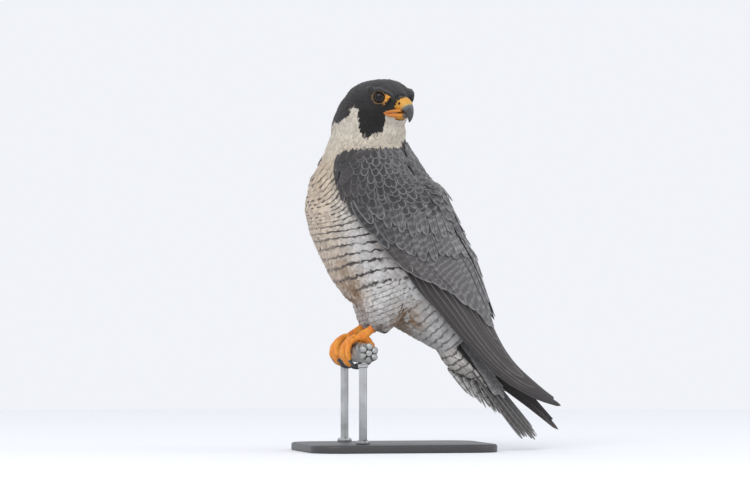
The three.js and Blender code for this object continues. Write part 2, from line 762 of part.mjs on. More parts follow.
show("head", whole.intersect(above(NECK_TOP)), "crown");
const seats = fuse([1, -1].map(wingSeat));
show("neck", whole.intersect(box(-FAR, FAR, -FAR, FAR, NECK_FOOT, NECK_TOP - GAP)).subtract(seats), "cream");
show("torso", whole.intersect(below(NECK_FOOT - GAP)).subtract(fuse([...legs, seats])), "cream");
show("cere", cere().transform(headFrame.elements), "yellow");
show("bill_upper", horn().transform(headFrame.elements), "horn", 0.3);
show("bill_lower", bill(LOWER_BILL).transform(headFrame.elements), "yellow");
for (const [name, side] of [
  ["left", 1],
  ["right", -1],
]) {
  show(`eye_${name}`, eyeBall(side).transform(headFrame.elements), "eye", 0.1);
  show(`wing_${name}`, wing(side), "slate");
  show(`thigh_${name}`, thigh(side).intersect(oneSide(side)), "cream");
  show(`leg_${name}`, leg(side), "yellow");
  for (const [digit, spec] of Object.entries(TOES)) {
    show(`talon_${name}_${digit}`, talon(side, spec), "horn", 0.3);
  }
}
show("tail", tail().subtract(fuse([trunk(GAP), seats])), "slate");
show("stand_base", standBase(), "base");
show("stand_rod_left", rod(45), "steel", 0.3);
show("stand_rod_right", rod(-45), "steel", 0.3);
show("perch", perch(), "steel", 0.4);

export default falcon;
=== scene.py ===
"""The looks of the perched peregrine falcon: its skin, its plumage feather by feather, head, feet and stand.

Shapes are worked out in millimetres and made in metres. The bird's breast faces -Y and its left side is +X.
"""
import math

import bmesh
import bpy
import numpy as np
from json import dump as write_json
from mathutils import Matrix, Vector
from mathutils.bvhtree import BVHTree
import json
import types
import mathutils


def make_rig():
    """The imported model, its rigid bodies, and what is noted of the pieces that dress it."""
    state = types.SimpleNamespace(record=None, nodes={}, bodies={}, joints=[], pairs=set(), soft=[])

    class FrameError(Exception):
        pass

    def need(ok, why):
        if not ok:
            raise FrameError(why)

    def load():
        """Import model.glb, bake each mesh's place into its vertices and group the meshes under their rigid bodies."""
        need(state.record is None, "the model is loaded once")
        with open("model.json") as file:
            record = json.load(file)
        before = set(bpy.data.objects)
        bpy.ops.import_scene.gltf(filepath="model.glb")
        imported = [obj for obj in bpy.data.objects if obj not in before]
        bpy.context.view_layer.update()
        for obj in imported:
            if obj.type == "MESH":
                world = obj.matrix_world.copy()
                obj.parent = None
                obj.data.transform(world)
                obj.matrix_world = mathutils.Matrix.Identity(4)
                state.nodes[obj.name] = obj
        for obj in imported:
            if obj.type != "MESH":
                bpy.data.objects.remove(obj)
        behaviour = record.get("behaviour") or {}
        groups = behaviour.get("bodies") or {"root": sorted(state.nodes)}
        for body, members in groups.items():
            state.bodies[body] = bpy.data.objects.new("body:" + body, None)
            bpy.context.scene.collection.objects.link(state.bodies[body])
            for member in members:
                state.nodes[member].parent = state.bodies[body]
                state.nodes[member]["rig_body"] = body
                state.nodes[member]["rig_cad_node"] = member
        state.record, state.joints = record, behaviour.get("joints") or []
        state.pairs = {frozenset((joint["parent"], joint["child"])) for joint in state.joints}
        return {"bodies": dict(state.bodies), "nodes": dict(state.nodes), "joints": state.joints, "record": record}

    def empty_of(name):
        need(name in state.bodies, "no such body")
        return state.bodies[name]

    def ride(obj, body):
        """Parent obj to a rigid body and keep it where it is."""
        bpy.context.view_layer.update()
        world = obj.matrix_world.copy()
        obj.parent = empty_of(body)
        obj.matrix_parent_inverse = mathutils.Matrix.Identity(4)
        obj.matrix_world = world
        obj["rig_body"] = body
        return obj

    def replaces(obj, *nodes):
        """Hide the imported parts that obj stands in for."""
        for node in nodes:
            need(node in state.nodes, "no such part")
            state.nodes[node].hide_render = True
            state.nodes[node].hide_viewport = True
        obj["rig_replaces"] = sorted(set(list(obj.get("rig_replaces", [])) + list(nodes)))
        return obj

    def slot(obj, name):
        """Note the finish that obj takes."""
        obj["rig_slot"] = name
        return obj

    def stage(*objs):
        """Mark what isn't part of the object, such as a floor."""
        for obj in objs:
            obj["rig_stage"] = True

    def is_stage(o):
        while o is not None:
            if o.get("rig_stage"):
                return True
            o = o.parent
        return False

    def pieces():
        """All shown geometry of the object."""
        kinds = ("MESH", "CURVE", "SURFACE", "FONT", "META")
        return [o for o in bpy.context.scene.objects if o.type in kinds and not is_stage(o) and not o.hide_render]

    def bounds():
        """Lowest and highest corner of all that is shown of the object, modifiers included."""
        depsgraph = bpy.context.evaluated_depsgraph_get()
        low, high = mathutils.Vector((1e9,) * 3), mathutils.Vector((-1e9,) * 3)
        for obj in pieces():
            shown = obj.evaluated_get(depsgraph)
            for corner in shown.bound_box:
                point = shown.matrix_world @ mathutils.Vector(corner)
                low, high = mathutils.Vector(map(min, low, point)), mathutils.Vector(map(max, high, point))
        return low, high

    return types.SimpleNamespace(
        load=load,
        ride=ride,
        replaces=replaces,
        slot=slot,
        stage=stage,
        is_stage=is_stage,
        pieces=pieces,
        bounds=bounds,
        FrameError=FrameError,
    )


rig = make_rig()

MM = 0.001
TAU = 2 * math.pi
SIDES = {"left": 1, "right": -1}
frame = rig.load()
CAD_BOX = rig.bounds()
scene = bpy.context.scene

# Sizes shared with the solids

# Stations down the bird: y, z, radius to the back, radius to the belly, half width.
BODY = np.array([
    [-19, 316, 36, 37, 33], [-19, 290, 50, 48.5, 44], [-17, 256, 64, 67.5, 51], [-5, 219, 66, 67, 53],
    [12, 180, 64, 60, 49], [36, 143, 52, 33, 37], [72, 105, 16, 15, 17],
])
WING_MIDDLE = [[36, 143, 63, 33, 42], [78, 99, 40, 20, 29]]
WING_ENDS = {
    1: [[112, 72, 25, 12, 18], [148, 53, 14, 8, 10], [178, 43, 4, 4, 5]],
    -1: [[112, 70, 23, 12, 18], [147, 44, 10, 8, 10], [178, 19, 3, 4, 5]],
}
WING = {side: np.vstack([BODY[:5], WING_MIDDLE, ends]) for side, ends in WING_ENDS.items()}
FULLNESS = 0.05
HEAD_PLACE = np.array([11.7, -6.4, 347.0])
HEAD_TURN = math.radians(33)
EYE_FORWARD, EYE_SIDE, EYE_UP, EYE_RADIUS = 15.8, 18.7, 5.4, 7.1
# Stations along the bill in the head's frame: forward, up, droop in degrees, half width and half height.
UPPER_BILL = np.array([
    [23, -1, 0, 10.2, 8.8], [28.5, -1, 5, 9.2, 8.2], [33, -2, 18, 7.8, 6.9], [36.5, -5, 42, 6, 5.3],
    [38.7, -9.3, 68, 4.3, 4], [39.4, -13.2, 88, 2.9, 2.9], [38.8, -16.6, 106, 1.7, 1.8],
    [38, -19, 112, 0.6, 0.7],
])
LOWER_BILL = np.array([
    [18, -13.4, 4, 9.6, 3.3], [25, -13.7, 2, 7.8, 3.2], [30.5, -13.4, -3, 5.4, 2.8],
    [33.8, -12.8, -8, 3.4, 2], [35.2, -12.4, -10, 1.4, 1.1],
])
CERE_NORMAL, CERE_AT = np.array([0.6, 0, -0.8]), 25.4
NOSTRIL = np.array([31.6, 7.4, -0.6])
# Stations down each thigh: x, y, z and radius.
THIGH = np.array(
    [[20, 0, 180, 25], [25, -7, 160, 25], [27, -8, 143, 22], [27, -10, 130, 16], [26, -14, 119, 8.5]]
)
PERCH_Y, PERCH_Z, PERCH_RADIUS, PERCH_LENGTH = -33, 99, 10, 150
FOOT_SPREAD = 25
TOES = {  # from and to angle round the perch, sideways sway, radius and talon length
    "inner": (8, 118, 13, 3.6, 15),
    "middle": (12, 148, 2, 3.7, 15),
    "outer": (4, 120, -15, 3.2, 13),
    "hind": (-16, -100, 5, 3.8, 18),
}
TAIL_Y, TAIL_Z, TAIL_SLOPE, TAIL_ROLL, TAIL_LENGTH = 66, 119, math.radians(50.8), math.radians(32), 137
TAIL_ROOT_HALF, TAIL_TIP_HALF = 12, 26
WING_FROM, HAND_FROM, WING_LIFT = 0.62, 2.6, 1.3

# Colours, as they are seen


def linear(*values):
    """Display values from 0 to 255 as the linear colour that a shader takes."""
    v = np.array(values, float) / 255
    return np.where(v <= 0.04045, v / 12.92, ((v + 0.055) / 1.055) ** 2.4)


CROWN = linear(39, 37, 38)
MALAR = linear(22, 21, 21)
CHEEK = linear(186, 178, 165)
CREAM = linear(192, 181, 165)
BUFF = linear(186, 166, 143)
FLANK = linear(188, 186, 184)
STAIN = linear(128, 100, 68)
PAINTED_WING_SHADE = linear(150, 138, 130)
# Painted shade: the grey-brown of the flank and thigh in the shadow of the folded wing
DARK_BROWN_PATCH = linear(82, 58, 44)
# A dark brown patch, low by the thigh
SLATE = linear(61, 59, 60)
SHOULDER = linear(61, 58, 58)
ASH = linear(99, 97, 98)
FLIGHT = linear(66, 61, 60)
BAR = linear(62, 56, 55)

# Small tools


def smooth(x, low, high):
    t = np.clip((x - low) / (high - low), 0, 1)
    return t * t * (3 - 2 * t)


def fade(x, low, high):
    return 1 - smooth(x, low, high)


def hump(x, middle, width):
    return np.exp(-(((x - middle) / width) ** 2))


def blend(a, b, share):
    return a + (b - a) * share


def unit(v):
    return v / np.maximum(np.linalg.norm(v, axis=-1, keepdims=True), 1e-9)


def around(sides):
    """Evenly spaced angles of a full turn."""
    return np.arange(sides) * TAU / sides


def at_points(value, p):
    """A number for each point, from a plain number or from a function of the points."""
    return value(p) if callable(value) else np.full(len(p), float(value))


def wobble(p, size, seed):
    """A soft random field between about -1 and 1 over points, with features of about that size."""
    draw = np.random.default_rng(seed)
    total = 0
    for k in range(5):
        wave = draw.normal(size=3)
        wave *= TAU / (size * (0.7 + 0.35 * k) * np.linalg.norm(wave))
        total = total + np.sin(p @ wave + draw.uniform(0, TAU))
    return total / 2.6


def spline(values, at):
    """Catmull-Rom through evenly spaced rows of values, at places from 0 to len(values) - 1."""
    values = np.asarray(values, float)
    padded = np.vstack([2 * values[:1] - values[1:2], values, 2 * values[-1:] - values[-2:-1]])
    at = np.clip(np.asarray(at, float), 0, len(values) - 1)
    k = np.minimum(at.astype(int), len(values) - 2)
    t = (at - k)[..., None]
    before, start, end, after = (padded[k + n] for n in range(4))
    leave, arrive = (end - before) / 2, (after - start) / 2
    bend = 3 * (end - start) - 2 * leave - arrive
    return start + t * (leave + t * (bend + t * (2 * (start - end) + leave + arrive)))


def on_course(course, station, angle, lift=0.0, side=1):
    """Points at stations, turned by degrees from the back's middle to a side, and lifted off the form."""
    station, angle, lift = np.broadcast_arrays(*(np.asarray(v, float) for v in (station, angle, lift)))
    here = spline(course, station)
    last = len(course) - 1
    ahead = spline(course[:, :2], np.minimum(station + 0.01, last))
    behind = spline(course[:, :2], np.maximum(station - 0.01, 0))
    along = unit(ahead - behind)
    turned = np.radians(angle)
    swell = 1 + FULLNESS * np.sin(2 * turned) ** 2
    radius = np.where(np.cos(turned) > 0, here[..., 2], here[..., 3])
    reach = (radius * swell + lift) * np.cos(turned)
    out = (here[..., 4] * swell + lift) * np.sin(turned)
    y, z = here[..., 0] - along[..., 1] * reach, here[..., 1] + along[..., 0] * reach
    return np.stack([side * out, y, z], -1)


HEAD_AXES = np.array([
    [math.cos(HEAD_TURN), math.sin(HEAD_TURN), 0],
    [-math.sin(HEAD_TURN), math.cos(HEAD_TURN), 0],
    [0, 0, 1],
])
TAIL_PLACE = np.array([0, TAIL_Y, TAIL_Z])
TAIL_TURNS = [(math.pi / 2, "Z"), (TAIL_SLOPE, "Y"), (TAIL_ROLL, "X")]
backwards, downwards, rolled = (Matrix.Rotation(angle, 3, axis) for angle, axis in TAIL_TURNS)
TAIL_AXES = np.array(backwards @ downwards @ rolled)


def to_head(p):
    """Points in the head's frame: forward to the bill, to the bird's left, up."""
    return (p - HEAD_PLACE) @ HEAD_AXES.T


def from_head(p):
    return np.asarray(p, float) @ HEAD_AXES + HEAD_PLACE


def to_tail(p):
    """Points in the tail's frame: along it, across it, and up off its upper face."""
    return (p - TAIL_PLACE) @ TAIL_AXES


def from_tail(p):
    return np.asarray(p, float) @ TAIL_AXES.T + TAIL_PLACE


# Meshes


def mesh_piece(name, points, faces, slot, replaces, material):
    """A piece of the model from points in millimetres and faces, all with the same number of corners."""
    faces = np.asarray(faces, np.int32)
    mesh = bpy.data.meshes.new(name)
    mesh.vertices.add(len(points))
    mesh.vertices.foreach_set("co", (np.asarray(points, float) * MM).astype(np.float32).ravel())
    mesh.loops.add(faces.size)
    mesh.loops.foreach_set("vertex_index", faces.ravel())
    mesh.polygons.add(len(faces))
    mesh.polygons.foreach_set("loop_start", np.arange(len(faces), dtype=np.int32) * faces.shape[1])
    mesh.update(calc_edges=True)
    mesh.validate()
    mesh.shade_smooth()
    mesh.materials.append(material)
    made = bpy.data.objects.new(name, mesh)
    scene.collection.objects.link(made)
    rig.ride(made, "root")
    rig.slot(made, slot)
    if replaces:
        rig.replaces(made, *replaces)
    return made


KINDS = {1: ("FLOAT", "value"), 3: ("FLOAT_VECTOR", "vector"), 4: ("FLOAT_COLOR", "color")}


def attach(piece, **layers):
    """Stores one value, vector or colour a vertex under each name. A tone is given without its alpha."""
    for name, values in layers.items():
        values = np.asarray(values, np.float32)
        if name == "tone":
            values = np.hstack([values, np.ones((len(values), 1), np.float32)])
        kind, key = KINDS[values.shape[1] if values.ndim > 1 else 1]
        layer = piece.data.attributes.new(name, kind, "POINT")
        layer.data.foreach_set(key, values.ravel())


def attach_plain(piece, tone):
    """The marks of a core under the feathers: its colour, and no bars, spots, rims or shafts."""
    count = len(piece.data.vertices)
    tone, lie, rim = (np.broadcast_to(v, (count, 3)) for v in (tone, 0.5, 9.0))
    attach(piece, tone=tone, mark=np.zeros((count, 4)), lie=lie, rim=rim)


def read(items, key, kind=np.float32):
    """Three numbers for each vertex or triangle of a mesh."""
    values = np.empty(len(items) * 3, kind)
    items.foreach_get(key, values)
    return values.reshape(-1, 3)


def points_of(mesh):
    return read(mesh.vertices, "co").astype(float) / MM


def normals_of(mesh):
    return read(mesh.vertices, "normal").astype(float)


def triangles_of(mesh):
    mesh.calc_loop_triangles()
    return read(mesh.loop_triangles, "vertices", np.int32)


def band(count, sides, wrapped=False):
    """Triangles between rings of points, and from the last ring back to the first if they are wrapped."""
    i, r = (v.ravel() for v in np.meshgrid(np.arange(sides), np.arange(count if wrapped else count - 1)))
    j, above = (i + 1) % sides, (r + 1) % count
    a, b, c, d = r * sides + i, r * sides + j, above * sides + j, above * sides + i
    return np.vstack([np.stack([a, b, c], 1), np.stack([a, c, d], 1)])


def closed(rings):
    """Points and triangles of a closed surface through rings of the same count, with a fan at both ends."""
    count, sides = rings.shape[:2]
    points = np.vstack([rings.reshape(-1, 3), rings[0].mean(0), rings[-1].mean(0)])
    i = np.arange(sides)
    j = (i + 1) % sides
    first, last, start = count * sides, count * sides + 1, (count - 1) * sides
    fans = [np.stack([0 * i + first, j, i], 1), np.stack([0 * i + last, start + i, start + j], 1)]
    faces = np.vstack([band(count, sides), *fans])
    return points, outward(points, faces)


def outward(points, faces):
    """The faces turned round if the closed surface is inside out."""
    a, b, c = (points[faces[:, k]] - points.mean(0) for k in range(3))
    return faces if np.einsum("ij,ij->", a, np.cross(b, c)) > 0 else faces[:, ::-1]


def tube(centres, radii, sides=12, reference=(1, 0.02, 0.03), scale_of=None):
    """Points and triangles of a closed tube along centres. scale_of(ring, turned) varies its radius."""
    centres = np.asarray(centres, float)
    along = unit(np.gradient(centres, axis=0))
    across = unit(np.cross(along, np.asarray(reference, float)))
    high = np.cross(across, along)
    turned = around(sides)[None]
    size = np.broadcast_to(np.asarray(radii, float), len(centres))[:, None]
    if scale_of:
        size = size * scale_of(np.arange(len(centres))[:, None], turned)
    out, up = (size * np.cos(turned))[..., None], (size * np.sin(turned))[..., None]
    return closed(centres[:, None] + out * across[:, None] + up * high[:, None])


def lathe(heights, radii, centre, out, front, up, sides):
    """A closed surface of revolution about out, from distances along it and radii."""
    turned = around(sides)[:, None]
    ring = np.cos(turned) * front + np.sin(turned) * up
    heights, radii = (np.asarray(v, float)[:, None, None] for v in (heights, radii))
    return closed(centre + heights * out + radii * ring[None])


def together(parts):
    """Several (points, faces) as one."""
    points, faces, start = [], [], 0
    for p, f in parts:
        points.append(p)
        faces.append(np.asarray(f) + start)
        start += len(p)
    return np.vstack(points), np.vstack(faces)


def fused(name, parts, voxel, rounds, slot, replaces, material):
    """Overlapping closed parts joined into one smooth skin."""
    made = mesh_piece(name, *together(parts), slot, replaces, material)
    remesh = made.modifiers.new("remesh", "REMESH")
    remesh.mode = "VOXEL"
    remesh.voxel_size = voxel * MM
    soften = made.modifiers.new("soften", "SMOOTH")
    soften.factor = 0.5
    soften.iterations = rounds
    bpy.context.view_layer.update()
    done = bpy.data.meshes.new_from_object(made.evaluated_get(bpy.context.evaluated_depsgraph_get()))
    made.modifiers.clear()
    made.data = done
    done.materials.clear()
    done.materials.append(material)
    done.shade_smooth()
    return made


# Materials from short calls


def operator(operation, swapped=False):
    def apply(self, other):
        pair = (other, self) if swapped else (self, other)
        return self.shader.math(operation, *pair)

    return apply


class Value:
    """A value that a shader works out at each point, with the operators of plain numbers."""

    __add__, __radd__ = operator("ADD"), operator("ADD", True)
    __sub__, __rsub__ = operator("SUBTRACT"), operator("SUBTRACT", True)
    __mul__, __rmul__ = operator("MULTIPLY"), operator("MULTIPLY", True)
    __truediv__, __mod__ = operator("DIVIDE"), operator("MODULO")

    def __init__(self, shader, socket):
        self.shader, self.socket = shader, socket

    def __abs__(self):
        return self.shader.math("ABSOLUTE", self)


class Shader:
    def __init__(self, name, **settings):
        self.material = bpy.data.materials.new(name)
        self.material.use_nodes = True
        self.tree = self.material.node_tree
        self.surface = self.tree.nodes["Principled BSDF"]
        for key, value in settings.items():
            self.surface.inputs[key.replace("_", " ")].default_value = value

    def put(self, socket, value):
        if isinstance(value, Value):
            self.tree.links.new(value.socket, socket)
        elif np.ndim(value) and socket.type == "RGBA":
            socket.default_value = (*value[:3], 1)
        else:
            socket.default_value = value

    def node(self, kind, inputs=(), output=0, **settings):
        """One output of a new node. Its inputs are given by name or number."""
        made = self.tree.nodes.new(kind)
        for key, value in settings.items():
            setattr(made, key, value)
        for key, value in dict(inputs).items():
            self.put(made.inputs[key], value)
        return Value(self, made.outputs[output])

    def math(self, operation, *values, clamp=False):
        return self.node("ShaderNodeMath", enumerate(values), operation=operation, use_clamp=clamp)

    def step(self, value, low, high, start=0.0, end=1.0):
        """start below low, end above high, and smooth between them."""
        inputs = {"Value": value, "From Min": low, "From Max": high, "To Min": start, "To Max": end}
        return self.node("ShaderNodeMapRange", inputs, interpolation_type="SMOOTHSTEP")

    def mix(self, share, a, b, blend_type="MIX"):
        inputs = {"Factor": share, 6: a, 7: b}
        return self.node("ShaderNodeMix", inputs, 2, data_type="RGBA", blend_type=blend_type)

    def place(self):
        return self.node("ShaderNodeTexCoord", output="Object")

    def noise(self, scale, detail=2.0, rough=0.5):
        inputs = {"Scale": scale, "Detail": detail, "Roughness": rough, "Vector": self.place()}
        return self.node("ShaderNodeTexNoise", inputs, "Fac")

    def attribute(self, name, output="Vector"):
        return self.node("ShaderNodeAttribute", output=output, attribute_name=name)

    def split(self, vector):
        return [self.node("ShaderNodeSeparateXYZ", {"Vector": vector}, axis) for axis in "XYZ"]

    def bump(self, height, strength, distance):
        inputs = {"Height": height, "Strength": strength, "Distance": distance}
        return self.node("ShaderNodeBump", inputs, "Normal")

    def finish(self, **sockets):
        for key, value in sockets.items():
            self.put(self.surface.inputs[key.replace("_", " ")], value)
        return self.material


def dark_marks(s, phase, column, drift, bars, spots):
    """Rows of arcs across the body, thickest at each feather's middle, and tear-shaped spots there."""
    parity = s.math("FLOOR", phase + 0.12) % 2.0
    column = column + 50.0 + parity * 0.5
    cell = s.math("FRACT", column) - 0.5
    along = phase + cell * cell * 0.4 + drift * 0.5
    row = s.math("FRACT", along) - 0.5
    wide = 0.165 + drift * 0.14 - abs(cell) * 0.1
    patchy = s.step(s.noise(95.0), 0.3, 0.52, 0.35, 1.0)
    bar = (1.0 - s.step(abs(row) / wide, 0.5, 1.15)) * (bars * patchy)
    long, broad = row / 0.24, cell / 0.27
    away = long * long + broad * broad
    cells = s.node("ShaderNodeCombineXYZ", {"X": s.math("FLOOR", along), "Y": s.math("FLOOR", column)})
    present = s.step(s.node("ShaderNodeTexWhiteNoise", {"Vector": cells}, "Value"), 0.25, 0.5)
    spot = (1.0 - s.step(away, 0.5, 1.3)) * (present * spots)
    return s.math("MAXIMUM", bar, spot)


def plumage_material(name):
    """Feathers: a colour for each one, with bars, spots, pale rims and barbs from its own measures."""
    s = Shader(name, Roughness=0.75, Sheen_Weight=0.15, Sheen_Roughness=0.6, Specular_IOR_Level=0.25)
    bars, spots, fringe = s.split(s.attribute("mark"))
    own = s.attribute("mark", "Alpha")
    phase, column, chance = s.split(s.attribute("lie"))
    edge, tip, across = s.split(s.attribute("rim"))
    grain = s.noise(160.0, 3.0)
    drift = grain - 0.5

    # Pale bars, a dark shaft and a pale rim on a feather of its own, and a painted shadow line along its sides
    turns = s.math("SINE", tip * 0.86 + (chance * 40.0 + drift * 5.0))
    paler = s.step(turns, -0.1, 0.95) * (own * s.step(s.noise(210.0), 0.3, 0.6, 0.45, 1.0))
    # Painted shadow: a dark line along each side of the feather, away from its tip, for the shade between overlapping
    # feathers
    painted_gap_shadow = (1.0 - s.step(edge, 0.2, 1.3)) * (s.step(tip, 3.0, 9.0) * own)
    shaft = (1.0 - s.step(abs(across), 0.15, 0.55)) * s.math("MAXIMUM", own, fringe)
    near = s.math("MINIMUM", edge, tip)
    rim = (1.0 - s.step(near + drift * 1.3, 0.35, 1.75)) * fringe

    dark = dark_marks(s, phase, column, drift, bars, spots)
    colour = s.mix(dark, s.attribute("tone", "Color"), BAR)
    colour = s.mix(paler, colour, linear(140, 139, 140))
    colour = s.mix(rim, colour, linear(134, 132, 131))
    # The painted shadow between feathers goes on here
    colour = s.mix(s.math("MULTIPLY", painted_gap_shadow, 1.6, clamp=True), colour, linear(48, 47, 50))
    colour = s.mix(shaft * 0.5, colour, linear(34, 32, 33))
    barbs = s.math("SINE", (tip - abs(across)) * 6.4)
    shade = 0.9 + grain * 0.2 + barbs * 0.03 + (chance - 0.5) * 0.34
    grey = s.node("ShaderNodeCombineColor", {"Red": shade, "Green": shade, "Blue": shade})
    colour = s.mix(1.0, colour, grey, "MULTIPLY")
    return s.finish(Base_Color=colour, Normal=s.bump(barbs * 0.5 + grain * 1.2, 0.35, 0.00025))


def horn_material(name, base, tip, rough=0.28):
    """Smooth horn that darkens towards its tip, with fine growth lines."""
    s = Shader(name, Roughness=rough, Specular_IOR_Level=0.5, Coat_Weight=0.25, Coat_Roughness=0.2)
    colour = s.mix(s.attribute("share", "Fac"), base, tip)
    colour = s.mix(s.noise(260.0, 3.0) * 0.22, colour, linear(150, 150, 150))
    return s.finish(Base_Color=colour, Normal=s.bump(s.noise(900.0, 3.0), 0.15, 0.0002))


def skin_material(name, rough, scale, depth):
    """Bare skin with a colour a vertex, pebbled at a scale."""
    s = Shader(name, Roughness=rough, Specular_IOR_Level=0.45, Subsurface_Weight=0.08)
    s.surface.inputs["Subsurface Radius"].default_value = (0.004, 0.002, 0.001)
    pebbles = {"Scale": scale, "Vector": s.place()}
    seams = s.step(s.node("ShaderNodeTexVoronoi", pebbles, feature="DISTANCE_TO_EDGE"), 0.0, 0.12)
    colour = s.mix((1.0 - seams) * 0.35, s.attribute("tone", "Color"), linear(120, 70, 26))
    colour = s.mix(s.noise(120.0, 3.0) * 0.12, colour, linear(180, 108, 40))
    return s.finish(Base_Color=colour, Normal=s.bump(seams, 0.4, depth))


def metal_material(name, colour, dull, rough, scale):
    s = Shader(name, Metallic=0.85, Roughness=rough)
    fine = s.noise(scale * 14)
    shade = s.mix(s.step(s.noise(scale, 4.0, 0.6), 0.35, 0.7), colour, dull)
    spread = rough - 0.08 + fine * 0.2
    return s.finish(Base_Color=shade, Roughness=spread, Normal=s.bump(fine, 0.12, 0.0002))


def paint_material(name, colour):
    s = Shader(name, Roughness=0.4, Specular_IOR_Level=0.45)
    fine = s.noise(700.0)
    shade = s.mix(s.noise(18.0, 4.0) * 0.35, colour, linear(84, 82, 82))
    return s.finish(Base_Color=shade, Roughness=0.34 + fine * 0.16, Normal=s.bump(fine, 0.1, 0.0002))


def eye_material():
    """A dark brown iris with a black pupil, under a clear coat."""
    s = Shader("eye", Roughness=0.3, Specular_IOR_Level=0.15, Coat_Weight=0.35, Coat_Roughness=0.04)
    polar = s.attribute("polar", "Fac")
    iris = s.mix(s.noise(900.0), linear(24, 15, 10), linear(40, 25, 16))
    colour = s.mix(s.step(polar, 0.42, 0.48), linear(4, 4, 5), iris)
    return s.finish(Base_Color=s.mix(s.step(polar, 0.7, 0.85), colour, linear(8, 7, 7)))


# Markings, as functions of place

PER_STATION = 40
CENTRES = spline(BODY[:, :2], np.linspace(0, 6, 6 * PER_STATION + 1))
STRIDE = np.concatenate([[0], np.cumsum(np.linalg.norm(np.diff(CENTRES, axis=0), axis=1))])


def on_body(p):
    """Station, millimetres down the body, and angle in radians from the belly's middle, for points."""
    yz = p[:, 1:]
    best = np.empty(len(p), int)
    for start in range(0, len(p), 20000):
        part = slice(start, start + 20000)
        best[part] = ((yz[part, None] - CENTRES[None]) ** 2).sum(2).argmin(1)
    k = np.clip(best, 1, len(CENTRES) - 2)
    along = unit(CENTRES[k + 1] - CENTRES[k - 1])
    off = yz - CENTRES[k]
    ahead = (off * along).sum(1)
    reach = -along[:, 1] * off[:, 0] + along[:, 0] * off[:, 1]
    return best / PER_STATION, STRIDE[best] + np.clip(ahead, -3, 3), np.arctan2(p[:, 0], -reach)


def on_thigh(p):
    """How far points lie outside the nearer thigh's form, and their angle round it."""
    own = p * np.stack([np.where(p[:, 0] > 0, 1, -1), np.ones(len(p)), np.ones(len(p))], 1)
    best, turned = np.full(len(p), 1e9), np.zeros(len(p))
    for a, b in zip(THIGH[:-1], THIGH[1:]):
        step = b[:3] - a[:3]
        t = np.clip(((own - a[:3]) @ step) / (step @ step), 0, 1)
        off = own - (a[:3] + t[:, None] * step)
        gap = np.linalg.norm(off, axis=1) - blend(a[3], b[3], t)
        turned = np.where(gap < best, np.arctan2(off[:, 0], -off[:, 1]), turned)
        best = np.minimum(gap, best)
    return best, turned


def round_neck(p):
    """Degrees round the neck from the middle of the back."""
    return np.abs((np.degrees(np.arctan2(p[:, 1] + 19, p[:, 0])) + 90) % 360 - 180)


def flank_line(z):
    """Where the folded wing's front edge crosses the flank at a height."""
    return np.interp(z, [150, 166, 188, 207, 235, 257, 290], [44, 27, 0, -21, -40, -52, -62])


# Where the cap ends on the side of the head: place round the cheek, against height.
CAP_EDGE = np.array([
    [-90, -22], [-66, -19.6], [-57, -15.6], [-48, -12.9], [-45, -5], [-40, -1.5], [-35, -2.5],
    [-33.4, -7], [-33.6, -24], [-33.4, -30], [-30, -33], [-15.6, -33.4], [-5, -30], [1, -25],
    [2.6, -17], [3.8, -9.5], [40, -9],
])
# The dark nape winds round the far side of the twisted neck: its two edges at four heights, in degrees.
NAPE_HEIGHTS = [300, 312, 322, 332]
NAPE_EDGES = [[84, 112, 158, 190], [248, 250, 246, 284]]
# Height of the dark mantle's upper edge, against degrees round from the middle of the back.
MANTLE_LINE = [[0, 27, 42, 52, 68, 102, 125, 138, 164], [314, 312, 308, 303, 302.3, 302, 301, 299.6, 290]]
THIGH_SPACING = 5.4
# Bar rows are closer together high on the flank: height run through, against the row's number.
ROWS = [[-340, -236, -194, -60], [0, 22, 27.4, 41.2]]
# Brown stains, a dark brown patch and painted shade under the wing, as they show from the side: place backwards and
# up, half width and height, strength and colour.
STAINS_AND_PAINTED_SHADE = [
    (-35, 158, 7, 18, 0.9, STAIN), (17, 130, 15, 17, 0.95, STAIN), (-46, 178, 6, 22, 0.5, STAIN),
    # The two grey-brown entries are painted shade under the folded wing
    (-3, 205, 12, 12, 0.75, PAINTED_WING_SHADE), (6, 182, 9, 14, 0.4, PAINTED_WING_SHADE), (-9, 126, 6, 6, 0.8, DARK_BROWN_PATCH),
]


def body_plumage(p):
    """Colour and marks of the body, and how far each point belongs to the slate back."""
    z = p[:, 2]
    front = np.cos(on_body(p)[2])
    tone = blend(FLANK, CREAM, smooth(z, 196, 290)[:, None])
    warm = smooth(front, 0.62, 0.98) * smooth(z, 120, 170) * fade(z, 285, 305)
    tone = blend(tone, BUFF, 0.75 * warm[:, None])
    seen = 0.208 * np.abs(p[:, 0]) + 0.978 * p[:, 1]
    # Brown stains, and grey-brown painted shade under the wing
    for x, height, wide, tall, strength, shade in STAINS_AND_PAINTED_SHADE:
        spot = hump(seen, x, wide) * hump(z, height, tall)
        spot = np.clip(spot * (1 + 0.6 * wobble(p * [1, 1, 0.4], 6, 3)), 0, 1)
        tone = blend(tone, shade, (strength * spot)[:, None])
    back = smooth(-front, 0.1, 0.35) * fade(z, 288, 296)
    from_back = round_neck(p)
    mantle = smooth(np.interp(from_back, *MANTLE_LINE) + 0.6 * wobble(p, 8, 9) - z, -1.2, 1.2)
    back = np.maximum(back, mantle * fade(from_back, 137, 143) * smooth(z, 262, 272))
    edge_bars = fade(z, 276, 288) * fade(flank_line(z) - p[:, 1], 16, 30)
    bars = np.maximum(fade(z, 226, 240), 0.9 * edge_bars) * (1 - back)
    bars = bars * (1 - 0.35 * smooth(front, 0.8, 1.0)) * (1 - 0.3 * fade(z, 140, 160))
    spots = fade(z, 268, 286) * (1 - back) * blend(0.9, 0.35, fade(z, 215, 235))
    mark = np.stack([bars, spots, 0 * z, 0 * z], 1)
    return blend(tone, SLATE * 0.85, back[:, None]), mark, back


